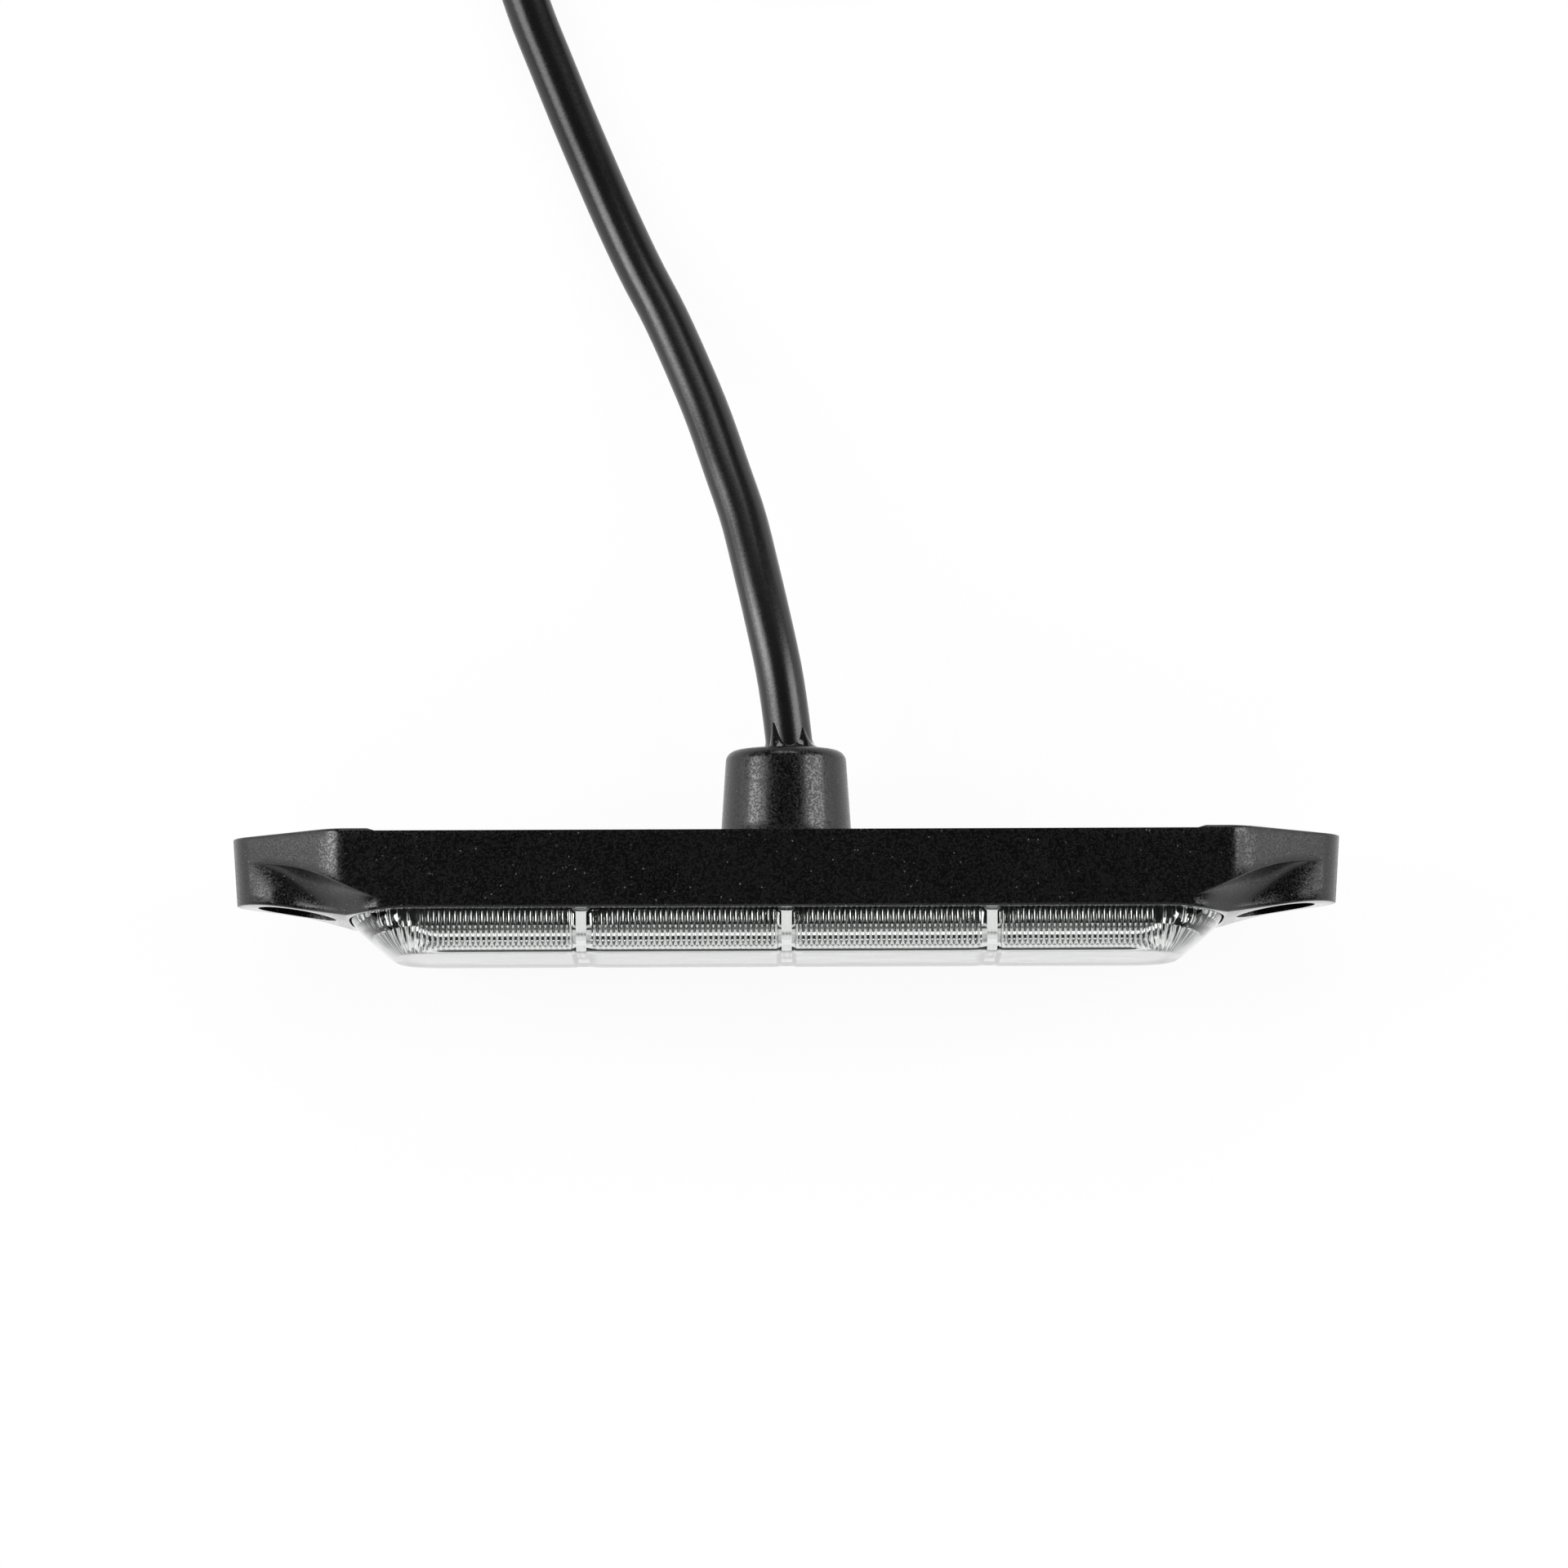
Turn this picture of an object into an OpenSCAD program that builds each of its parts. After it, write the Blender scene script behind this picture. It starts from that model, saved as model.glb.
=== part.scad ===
// Surface-mount LED warning lamp: a slim die-cast housing with scooped screw ears, a four-pillow
// clear lens, a reflector and board stack behind it, and a round cable out of a boss on the back.
// The lamp lies on its long side wall: X along the housing, the lens faces -Y, the cable leaves +Y.

/* [Housing] */
// Length over both ears
body_length = 130; // [122:1:150]
// Width across the long side walls
body_width = 29; // [27:0.5:34]
// Height of the front rim above the mounting face
rim_height = 9.3; // [8.8:0.1:11]
// Length of the straight side walls
side_length = 105.6; // [103:0.2:108]
// Thickness of the back wall
floor_thickness = 2.3; // [1.8:0.1:2.6]
// Width of the rim around the lens
rim_width = 1.9; // [1.6:0.1:2.4]
// Depth of the relief between the two ear pads
pad_relief = 0.3; // [0.1:0.1:0.6]
// Length of each ear pad
pad_length = 16.3; // [12:0.1:20]
// Chamfer on the outer edges
edge_break = 0.35; // [0.2:0.05:0.6]

/* [Ears] */
// Radius of each rounded tip
tip_radius = 6; // [5.5:0.25:7]
// Thickness of the ear flange at its tip
flange_tip = 3.1; // [2.4:0.1:3.6]
// Height of the screw nose at its tip
nose_tip = 7.9; // [7:0.1:8.6]
// Height of the nose edge above the scoop at the tip
ridge_tip = 5.8; // [5:0.1:6.4]
// How far each nose stands above the rim where it meets the lens
nose_rise = 0.5; // [0:0.1:0.8]
// Distance from the tip over which a nose narrows from the full width
nose_length = 16.5; // [14:0.5:18]
// Distance from the tip to where the scoop starts
scoop_length = 20; // [18:0.5:22]
// Distance over which the flange sweeps down to its edge
scoop_sweep = 9.7; // [8:0.1:12]
// How much shorter the lamp is at the front of its tips than at the back, at each end
tip_draft = 0.5; // [0:0.1:0.8]
// Spacing of the two screw holes
hole_spacing = 115; // [113:0.5:116]
// Diameter of the screw holes
hole_diameter = 4.5; // [3.4:0.1:5.2]
// Diameter of the recess for the screw head
recess_diameter = 9.2; // [8:0.1:9.8]
// Metal left under the screw head
recess_floor = 3.4; // [2.6:0.1:4]

/* [Cable boss] */
// Diameter of the boss at the housing
boss_root = 15.4; // [14:0.1:18]
// Diameter of the boss at its end
boss_end = 14.2; // [13:0.1:15.4]
// Height of the boss above the mounting face
boss_height = 10.3; // [8:0.1:14]
// Rounding of the boss edge
boss_round = 1.3; // [0.6:0.1:2]
// Diameter of the bore through the boss
boss_bore = 8.4; // [8.2:0.1:9]

/* [Lens] */
// Height of the lens front above the mounting face
lens_front = 14.3; // [13.4:0.1:16]
// Wall of the lens
lens_wall = 1.4; // [1.1:0.1:1.6]
// Length of the lens where it leaves the rim
lens_length = 102.6; // [100:0.2:103]
// Length of each bowed lens end
lens_bow = 6.3; // [5:0.1:10]
// Squareness of the lens corners, where 2 gives a half ellipse
corner_power = 2.9; // [2:0.1:4]
// How much shorter the front is than the base at each end
end_slope = 5.2; // [4:0.2:9]
// How much narrower the front is than the base on each side
side_draft = 1.9; // [1.4:0.1:2.4]
// How far each end pillow reaches past the length of the others
end_margin = 3.5; // [2.6:0.1:4]
// Width of the groove between two pillows
groove_width = 2.2; // [1.4:0.1:3]
// Depth of that groove
groove_depth = 0.3; // [0.2:0.05:0.6]
// Thickness of the rib behind each groove
rib_thickness = 1.4; // [1:0.1:1.8]
// Distance from one flute to the next
flute_pitch = 1.25; // [1.1:0.05:2]
// Gap between the lens skirt and the housing
lens_clearance = 0.15; // [0.1:0.05:0.3]
// How far the lens skirt reaches below the rim
skirt_depth = 1.4; // [1:0.1:1.6]
// Thickness of the gasket under the lens skirt
gasket_thickness = 0.6; // [0.4:0.1:0.8]

/* [Board] */
// Thickness of the circuit board
board_thickness = 1.6; // [1:0.2:1.6]
// Thickness of the thermal pad
pad_thickness = 0.5; // [0.3:0.1:0.6]
// Gap between the board edge and the wall around it
board_gap = 0.6; // [0.4:0.1:1]
// Edge length of one LED package
led_size = 3.45; // [2.8:0.05:3.5]
// Height of one LED package
led_height = 0.75; // [0.6:0.05:0.8]
// Radius of the LED dome
led_dome = 1.3; // [1:0.05:1.4]
// Diameter of the board screws
board_screw = 2; // [1.6:0.1:2.5]
// Gap between two components side by side on the board
part_gap = 0.6; // [0.3:0.1:0.7]

/* [Reflectors] */
// Height of the reflector tops above the board
reflector_height = 6.3; // [5.6:0.1:6.6]
// Room between the board and the reflector underside
reflector_lift = 1.5; // [1.4:0.1:1.8]
// Gap between a reflector and the lens rib beside it
reflector_gap = 0.35; // [0.25:0.05:0.5]
// Web between two LED cups where they open
cup_web = 0.3; // [0.2:0.05:0.6]
// Width of the bright trough where it opens
trough_width = 17; // [15:0.5:18]

/* [Cable] */
// Diameter of the cable
cable_diameter = 5.5; // [5:0.1:5.8]
// Diameter of one insulated core
core_diameter = 1.2; // [1:0.05:1.2]
// Thickness of the twist tie
tie_thickness = 0.5; // [0.4:0.1:0.8]
// Width of the twist tie
tie_width = 4; // [3:0.5:6]

/* [Hidden] */
$fn = 64;
CORE_NAMES = ["red", "black", "yellow", "blue", "white"];
CORE_COLOURS = ["#b3201c", "#161616", "#d9b21f", "#24489a", "#e6e6e2"];
module_count = 4;
leds_per_module = 3;
led_count = module_count * leds_per_module;

half_length = body_length / 2;
half_width = body_width / 2;
half_side = side_length / 2;
tip_x = half_length - tip_radius;
scoop_start = half_length - scoop_length;
tip_flat = 0.8;

// The lamp's mounting plane sits so that the body is centred over the origin
pad_y = (lens_front - boss_height) / 2;

lens_half_length = lens_length / 2;
lens_half_width = half_width - rim_width;
skirt_bottom = rim_height - skirt_depth;
ledge_height = skirt_bottom - gasket_thickness;
floor_top = pad_relief + floor_thickness;
board_bottom = floor_top + pad_thickness;
board_top = board_bottom + board_thickness;
inner_inset = lens_wall + 0.1;

// Four equal modules share the lens, apart from the margin at each end
pillow_pitch = (lens_length - 2 * end_margin) / module_count;
flute_depth = 0.52 * flute_pitch;
fan_angle = 88;

reflector_bottom = board_top + reflector_lift;
reflector_top = board_top + reflector_height;
reflector_half = (pillow_pitch - rib_thickness) / 2 - reflector_gap;
reflector_inset = lens_wall + flute_depth + 0.3;
tray_edge = 0.55;
tray_floor = 1.1;
led_pitch = 2 * (reflector_half - tray_edge) / leds_per_module;
cup_diameter = led_pitch - cup_web;
led_row = led_pitch * (leds_per_module - 1) / 2;

// The trough floor ends a little inside the outer rims of the cups
trough_floor = [2 * led_row + cup_diameter - 1.4, cup_diameter - 0.4];
trough_mouth = [2 * reflector_half - 1.6, trough_width];

// Feet that stand the reflector on the board, and the room left under it for components
foot_radius = 0.9;
foot_place = [reflector_half - 2.4, 4.6];
notch_size = [2 * reflector_half - 3.8, 3.4, 1.6];

// Component sizes. A resistor stands at the middle of each module, and the rest line up beside it.
component_line = lens_half_width - inner_inset - board_gap - 2.6;
chip_size = [5, 3, 1.3];
switch_size = [2.9, 2.6, 1.1];
choke_size = [4.5, 3, 2.4];
capacitor_size = [2, 1.3, 1.2];
resistor_size = [1.1, 2, 0.5];
diode_size = [4.2, 2.6, 2];
first_edge = resistor_size.x / 2 + part_gap;
chip_place = -(first_edge + chip_size.x / 2);
choke_place = -(first_edge + choke_size.x / 2);
diode_place = -(first_edge + diode_size.x / 2);
switch_place = first_edge + switch_size.x / 2;
capacitor_first = first_edge + capacitor_size.x / 2;
capacitor_places = [capacitor_first, capacitor_first + capacitor_size.x + part_gap];

screw_x = pillow_pitch;
screw_y = component_line;
screw_head_height = 1.2;
screw_head_radius = board_screw * 0.95;
screw_grip = 1.6;
screw_socket = 0.6;

// Where the cores rise beside one another, and the board pad each one is soldered to
core_rise = [[-1.25, 1.9], [0, 1.9], [1.25, 1.9], [-0.7, -1.9], [0.7, -1.9]];
core_pad = [[-3.4, 7.4], [0, 9], [3.4, 7.4], [-2.4, -7.4], [2.4, -7.4]];
core_angle = [162, 90, 18, 234, 306];
joint_foot = 1;
joint_top = 0.6;
joint_height = 0.9;
slot_half = [2, 2.8];

cable_radius = cable_diameter / 2;
core_radius = core_diameter / 2;
cable_exit = [0.5, pad_y + boss_height, half_width];
cable_grip = 6;
coil_centre = [2.75, 149];
coil_mean = 33;

// Route of the cable from the boss to the coil, lying on the table after it has come down
lead_route = [
    cable_exit, [-0.1, 17, 14.5], [-0.9, 22, 14.4], [-2.2, 28, 13.8], [-3.6, 34, 12.8],
    [-5.2, 40.5, 11.4], [-7.2, 46.5, 10], [-9.4, 53, 8.3], [-11.8, 59, 6.8], [-14.6, 65.5, 5.3],
    [-17.6, 71.5, 4.1], [-20.6, 78, 3.2], [-23.2, 84, 2.8], [-25.7, 90, 2.75], [-28.3, 96.5, 2.75],
    [-30.8, 103, 2.75], [-33, 110.5, 2.8], [-34.6, 118.5, 2.9], [-35.5, 127, 3.1], [-35.8, 137, 3.25],
    [-35.75, 149, 3.25]
];

// Route of the free end from the top of the coil down to where the jacket is stripped
tail_route = [
    [-6.5, 183.5, 8.75], [-0.3, 185.5, 8.75], [6, 186.1, 8.75], [12.6, 185.5, 8.75], [18.9, 183.7, 8.75],
    [27.5, 178.5, 8.75], [33.4, 173.3, 8.75], [38.8, 167.4, 8.5], [43.5, 160.8, 7.3], [47.4, 153.7, 4.9],
    [50.3, 146.2, 3.3], [52.2, 138.4, 2.75]
];

// Each stripped core runs from the jacket to its own end on the table
tail_core_start = [[0, 1.35], [-1.28, 0.42], [-0.79, -1.09], [0.79, -1.09], [1.28, 0.42]];
tail_core_spread = [0, 14, -16, 27, -30];
tail_core_length = 26;
tinned_length = 6;

// Lays the lamp, drawn on its mounting face with the lens up, on its long side wall
module lay() {
    translate([0, pad_y, half_width]) rotate([90, 0, 0]) children();
}

function lerp(a, b, t) = a + (b - a) * t;
function clamp01(t) = min(max(t, 0), 1);
function ease(t) = (1 - cos(180 * clamp01(t))) / 2;
function unit(v) = v / norm(v);

// ---- Sweeps ----------------------------------------------------------------

function heading(route, i) =
    unit(route[min(i + 1, len(route) - 1)] - route[max(i - 1, 0)]);

function ring(centre, along, up, radius, sides) =
    let (across = unit(cross(along, up)), over = cross(across, along))
    [for (s = [0:sides - 1])
        let (a = 360 * (s + 0.5) / sides)
        centre + radius * (cos(a) * across + sin(a) * over)];

// Faces of a closed loft through rings of the same number of points
function loft_faces(rings, count) = concat(
    [for (i = [0:rings - 2], s = [0:count - 1])
        let (a = i * count + s, b = i * count + (s + 1) % count)
        [a, a + count, b]],
    [for (i = [0:rings - 2], s = [0:count - 1])
        let (a = i * count + s, b = i * count + (s + 1) % count)
        [b, a + count, b + count]],
    [[for (s = [0:count - 1]) s]],
    [[for (s = [count - 1:-1:0]) (rings - 1) * count + s]]
);

module tube(route, radius, sides, up = [0, 0, 1]) {
    rings = [for (i = [0:len(route) - 1]) ring(route[i], heading(route, i), up, radius, sides)];
    polyhedron([for (r = rings, p = r) p], loft_faces(len(route), sides), convexity = 4);
}

// ---- Housing ---------------------------------------------------------------

// The facet beside each ear runs from the end of the side wall to a tangent on the round tip
facet_reach = norm([half_side - tip_x, half_width]);
facet_turn = atan2(half_width, half_side - tip_x) - acos(tip_radius / facet_reach);
tangent_x = tip_x + tip_radius * cos(facet_turn);
tangent_y = tip_radius * sin(facet_turn);

function tip_half(x) = sqrt(max(pow(tip_radius, 2) - pow(x - tip_x, 2), pow(tip_flat, 2)));

function flange_half(x) =
    x <= half_side ? half_width
    : x < tangent_x ? lerp(half_width, tangent_y, (x - half_side) / (tangent_x - half_side))
    : tip_half(x);

// Half width of the rim and of the nose that grows out of it
nose_start = half_length - nose_length;
function nose_half(x) =
    x >= tip_x ? tip_half(x)
    : tip_radius + (half_width - tip_radius) * pow(1 - clamp01((x - nose_start) / (tip_x - nose_start)), 2);

// The rim climbs a little towards the lens end, and the nose falls from there to its tip
rise_length = 7.5;
function nose_height(x) =
    x < lens_half_length
    ? rim_height + nose_rise * ease((x - lens_half_length + rise_length) / rise_length)
    : lerp(nose_tip, rim_height + nose_rise,
        pow(clamp01((half_length - x) / (half_length - lens_half_length)), 1.6));

ridge_slope = 0.335;
function ridge_height(x) =
    min(ridge_tip + ridge_slope * (half_length - x), nose_height(x) - edge_break - 0.15);

scoop_top = rim_height - 0.8;
function flange_height(x) =
    flange_tip + (scoop_top - flange_tip) * exp(-pow((x - scoop_start) / scoop_sweep, 2));

// Right half of the cross-section at x, from the back up to the front
cove_steps = 6;
function half_section(x) =
    let (
        w = flange_half(x),
        n = min(nose_half(x), w),
        low = flange_height(x),
        high = ridge_height(x),
        top = nose_height(x)
    )
    concat(
        [[w - edge_break, 0], [w, edge_break]],
        [for (i = [0:cove_steps])
            let (a = 90 * i / cove_steps)
            [w - (w - n) * sin(a), high - (high - low) * cos(a)]],
        [[n, top - edge_break], [n - edge_break, top]]
    );

// The draft grows from the side wall to the tip, and from the back to the front
function drafted(x, level) =
    x - sign(x) * tip_draft * level / nose_tip * clamp01((abs(x) - half_side) / (half_length - half_side));

function section(x) =
    let (half = half_section(abs(x)), last = len(half) - 1)
    concat(
        [for (p = half) [drafted(x, p.y), p.x, p.y]],
        [for (i = [last:-1:0]) [drafted(x, half[i].y), -half[i].x, half[i].y]]
    );

ear_stations = concat(
    [for (i = [0:9]) lerp(scoop_start, half_side, i / 10)],
    [for (i = [0:7]) lerp(half_side, tip_x, i / 8)],
    [for (a = [0:12:72]) tip_x + tip_radius * sin(a)],
    [half_length]
);
stations = concat(
    [for (i = [len(ear_stations) - 1:-1:0]) -ear_stations[i]],
    ear_stations
);

module housing_block() {
    count = 2 * len(half_section(0));
    polyhedron([for (x = stations, p = section(x)) p], loft_faces(len(stations), count));
}

// The middle of the back stands off the panel; a short ramp leads to each ear pad
module back_relief() {
    reach = half_length - pad_length;
    ramp = 0.9;
    rotate([90, 0, 0]) linear_extrude(body_width + 2, center = true)
        polygon([[-reach, -1], [reach, -1], [reach, 0], [reach - ramp, pad_relief],
            [ramp - reach, pad_relief], [-reach, 0]]);
}

module cable_boss() {
    draft = (boss_root - boss_end) / 2;
    rotate([180, 0, 0]) rotate_extrude()
        polygon(concat(
            [[0, -floor_top + 0.4], [boss_root / 2, -floor_top + 0.4], [boss_root / 2, 0],
                [boss_root / 2 - draft * (1 - boss_round / boss_height), boss_height - boss_round]],
            [for (a = [15:15:90])
                [boss_end / 2 - boss_round * (1 - cos(a)), boss_height - boss_round * (1 - sin(a))]],
            [[0, boss_height]]
        ));
}

// Straight-sided outline with a bowed end at each side
end_step = 9;
function bowed_point(reach, half, bow, t) =
    let (r = pow(pow(abs(cos(t)), corner_power) + pow(abs(sin(t)), corner_power), -1 / corner_power))
    [reach - bow + bow * r * cos(t), half * r * sin(t)];
function bowed_end(reach, half, bow) =
    [for (t = [-90:end_step:90]) bowed_point(reach, half, bow, t)];
function lens_points(reach, half, bow) = concat(
    bowed_end(reach, half, bow),
    [for (p = bowed_end(reach, half, bow)) -p]
);

module lens_outline(inset) {
    polygon(lens_points(lens_half_length - inset, lens_half_width - inset, lens_bow - inset / 2));
}

module lens_pocket() {
    translate([0, 0, ledge_height]) linear_extrude(rim_height) lens_outline(0);
    translate([0, 0, floor_top]) linear_extrude(rim_height) lens_outline(inner_inset);
}

module ear_hole() {
    translate([0, 0, -1]) cylinder(d = hole_diameter, h = rim_height + 2);
    translate([0, 0, recess_floor]) cylinder(d = recess_diameter, h = rim_height);
}

module screw_places() {
    for (x = [-screw_x, screw_x], y = [-screw_y, screw_y]) translate([x, y, 0]) children();
}

module housing() {
    color("#1a1b1c") lay() difference() {
        union() {
            difference() {
                housing_block();
                back_relief();
            }
            cable_boss();
        }
        lens_pocket();
        for (side = [-1, 1]) translate([side * hole_spacing / 2, 0, 0]) ear_hole();
        translate([0, 0, -boss_height - 1]) cylinder(d = boss_bore, h = boss_height + floor_top + 2);
        screw_places() translate([0, 0, floor_top - screw_grip]) cylinder(d = board_screw, h = rim_height);
    }
}

// ---- Lens ------------------------------------------------------------------

// Shoulder of the lens: share of its height, of the end slope and of the side draft
shoulder = [
    [0, 0, 0], [0.12, 0.03, 0.04], [0.25, 0.14, 0.09], [0.45, 0.35, 0.18], [0.66, 0.58, 0.29],
    [0.79, 0.72, 0.42], [0.905, 0.85, 0.6], [0.98, 0.95, 0.82], [1, 1, 1]
];
function lens_reach(row, inset) = lens_half_length - lens_clearance - end_slope * row[1] - inset;
function lens_half(row, inset) = lens_half_width - lens_clearance - side_draft * row[2] - inset;
function lens_level(row, inset) = lerp(rim_height, lens_front - inset, row[0]);

// A convex stack of outlines, kept between two planes that close in on the rounded edge
module lens_stack(inset, from, to, rows = shoulder) {
    hull() for (row = rows) {
        edge = 0.45 * side_draft * row[2];
        translate([0, 0, lens_level(row, inset) - 0.02]) linear_extrude(0.02) intersection() {
            polygon(lens_points(lens_reach(row, inset), lens_half(row, inset), lens_bow - inset / 2));
            translate([from + edge, -body_width]) square([to - from - 2 * edge, 2 * body_width]);
        }
    }
}

function pillow_centre(i) = (i - (module_count - 1) / 2) * pillow_pitch;
function pillow_from(i, gap) = i == 0 ? -body_length : pillow_centre(i) - pillow_pitch / 2 + gap / 2;
function pillow_to(i, gap) =
    i == module_count - 1 ? body_length : pillow_centre(i) + pillow_pitch / 2 - gap / 2;

// A point just inside the lens wall, at an angle round the bowed end or at x along the side
flute_seat = lens_wall - 0.2;
function end_point(side, t, row) =
    let (p = bowed_point(lens_reach(row, flute_seat), lens_half(row, flute_seat), lens_bow - lens_wall / 2, t))
    [side * p.x, p.y, lens_level(row, lens_wall)];
function side_point(x, side, row) =
    [x, side * lens_half(row, flute_seat), lens_level(row, lens_wall)];

// One flute: a ridge along the wall through the given points, turned to point away from it
module flute(points, turn) {
    for (i = [0:len(points) - 2]) hull() for (p = [points[i], points[i + 1]])
        translate(p) rotate([0, 0, turn]) cylinder(r = flute_depth, h = 0.05, $fn = 4);
}

inner_rows = [shoulder[0], shoulder[2], shoulder[4], shoulder[6], shoulder[8]];
straight_end = lens_reach(shoulder[4], lens_wall) - lens_bow + lens_wall / 2;
module side_flutes() {
    per_cell = floor((pillow_pitch - rib_thickness) / flute_pitch);
    for (i = [0:module_count - 1], k = [0:per_cell - 1], side = [-1, 1]) {
        x = pillow_centre(i) + (k - (per_cell - 1) / 2) * flute_pitch;
        if (abs(x) < straight_end)
            flute([for (row = [shoulder[0], shoulder[4]]) side_point(x, side, row)], 0);
    }
}

module end_flutes() {
    steps = floor(1.2 * lens_half_width / flute_pitch);
    for (side = [-1, 1], k = [-steps:steps])
        flute([for (row = [shoulder[0], shoulder[2], shoulder[4]]) end_point(side, fan_angle * k / steps, row)],
            side * fan_angle * k / steps);
}

module outer_lens() {
    color("#dfe6ea", 0.45) lay() union() {
        difference() {
            union() {
                lens_stack(groove_depth, -body_length, body_length);
                for (i = [0:module_count - 1])
                    lens_stack(0, pillow_from(i, groove_width), pillow_to(i, groove_width));
                translate([0, 0, skirt_bottom]) linear_extrude(skirt_depth) lens_outline(lens_clearance);
            }
            for (i = [0:module_count - 1])
                lens_stack(lens_wall, pillow_from(i, rib_thickness), pillow_to(i, rib_thickness), inner_rows);
            translate([0, 0, skirt_bottom - 1]) linear_extrude(skirt_depth + 1.02) lens_outline(lens_wall);
        }
        side_flutes();
        end_flutes();
    }
}

module lens_gasket() {
    color("#2b2b2b") lay() translate([0, 0, ledge_height]) linear_extrude(gasket_thickness)
        difference() {
            lens_outline(lens_clearance);
            lens_outline(inner_inset);
        }
}

// ---- Reflectors and LEDs ---------------------------------------------------

function reflector_from(i) = i == 0 ? -body_length : pillow_centre(i) - reflector_half;
function reflector_to(i) = i == module_count - 1 ? body_length : pillow_centre(i) + reflector_half;
function led_x(i, k) = pillow_centre(i) + (k - (leds_per_module - 1) / 2) * led_pitch;

module trough() {
    hull() {
        translate([0, 0, reflector_bottom + tray_floor]) linear_extrude(0.02)
            square(trough_floor, center = true);
        translate([0, 0, reflector_top]) linear_extrude(0.02)
            square(trough_mouth, center = true);
    }
}

// Bright plastic tray of one module, standing on four feet, with a cup round each LED
module reflector(i) {
    cup_base = board_top + led_height;
    cup_depth = reflector_bottom + tray_floor - cup_base;
    color("#c9ccce") lay() difference() {
        union() {
            translate([0, 0, reflector_bottom]) linear_extrude(reflector_top - reflector_bottom)
                intersection() {
                    lens_outline(reflector_inset);
                    translate([reflector_from(i), -body_width])
                        square([reflector_to(i) - reflector_from(i), 2 * body_width]);
                }
            for (k = [0:leds_per_module - 1]) translate([led_x(i, k), 0, cup_base + 0.15])
                cylinder(d = cup_diameter - 0.3, h = reflector_lift);
            for (x = [-1, 1], y = [-1, 1])
                translate([pillow_centre(i) + x * foot_place.x, y * foot_place.y, board_top])
                    cylinder(r = foot_radius, h = reflector_lift + 0.1);
        }
        translate([pillow_centre(i), 0, 0]) trough();
        for (k = [0:leds_per_module - 1]) translate([led_x(i, k), 0, cup_base])
            cylinder(r1 = led_dome + 0.55, r2 = cup_diameter / 2, h = cup_depth + 0.3);
        for (side = [-1, 1])
            translate([pillow_centre(i), side * component_line, reflector_bottom + notch_size.z / 2 - 0.5])
                cube(notch_size + [0, 0, 1], center = true);
    }
}

module led(number) {
    i = floor((number - 1) / leds_per_module);
    k = (number - 1) % leds_per_module;
    color("#f2ead0") lay() translate([led_x(i, k), 0, board_top]) union() {
        translate([0, 0, led_height / 2]) cube([led_size, led_size, led_height], center = true);
        intersection() {
            translate([0, 0, led_height - 0.1]) sphere(r = led_dome);
            translate([0, 0, led_height / 2 + led_dome]) cube([led_size, led_size, 2 * led_dome], center = true);
        }
    }
}

// ---- Board and what it carries ---------------------------------------------

module core_slot(depth) {
    linear_extrude(depth) union() {
        square([2 * slot_half.x, 2 * (slot_half.y - slot_half.x)], center = true);
        for (side = [-1, 1]) translate([0, side * (slot_half.y - slot_half.x)]) circle(slot_half.x);
    }
}

module board_plate(bottom, thickness) {
    difference() {
        translate([0, 0, bottom]) linear_extrude(thickness) lens_outline(inner_inset + board_gap);
        translate([0, 0, bottom - 1]) core_slot(thickness + 2);
        screw_places() translate([0, 0, bottom - 1]) cylinder(d = board_screw + 0.2, h = thickness + 2);
    }
}

module led_board() {
    color("#e9ece8") lay() board_plate(board_bottom, board_thickness);
}

module thermal_pad() {
    color("#8f9aa6") lay() board_plate(floor_top, pad_thickness);
}

// Stands one component on the board at x along the row on the given side
module on_board(x, row, size) {
    translate([x - size.x / 2, row - size.y / 2, board_top]) cube(size);
}

module controller_chip() {
    color("#232323") lay() {
        on_board(pillow_centre(1) + chip_place, component_line, chip_size);
    }
}

module power_switches() {
    color("#2a2a2a") lay() for (i = [0:module_count - 1])
        on_board(pillow_centre(i) + switch_place, -component_line, switch_size);
}

module chokes() {
    color("#4a4744") lay() for (i = [0:module_count - 1])
        on_board(pillow_centre(i) + choke_place, -component_line, choke_size);
}

module capacitors() {
    color("#b59a6a") lay() for (i = [0:module_count - 1], x = capacitor_places)
        on_board(pillow_centre(i) + x, component_line, capacitor_size);
}

module resistors() {
    color("#1f2a30") lay() for (i = [0:module_count - 1], side = [-1, 1])
        on_board(pillow_centre(i), side * component_line, resistor_size);
}

module input_diode() {
    color("#303030") lay() on_board(pillow_centre(2) + diode_place, component_line, diode_size);
}

module board_screws() {
    color("#b9bcbf") lay() screw_places() {
        translate([0, 0, floor_top - screw_grip]) cylinder(d = board_screw, h = screw_grip + board_top - floor_top);
        translate([0, 0, board_top]) difference() {
            cylinder(r = screw_head_radius, h = screw_head_height);
            translate([0, 0, screw_head_height - screw_socket])
                cylinder(d = board_screw * 0.8, h = 1, $fn = 6);
        }
    }
}

module core_joints() {
    color("#aeb1b4") lay() for (p = core_pad)
        translate([p.x, p.y, board_top]) cylinder(r1 = joint_foot, r2 = joint_top, h = joint_height);
}

// ---- Cable -----------------------------------------------------------------

// Direction in which the cable leaves the boss, and the same seen from the mounting face
exit_heading = unit(lead_route[1] - lead_route[0]);
exit_tilt = atan2(-exit_heading.x, exit_heading.y);

// Turns and moves its children so that they stand on the boss end, along the cable
module at_exit() {
    translate(cable_exit) rotate([0, 0, exit_tilt]) rotate([-90, 0, 0]) children();
}

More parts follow.
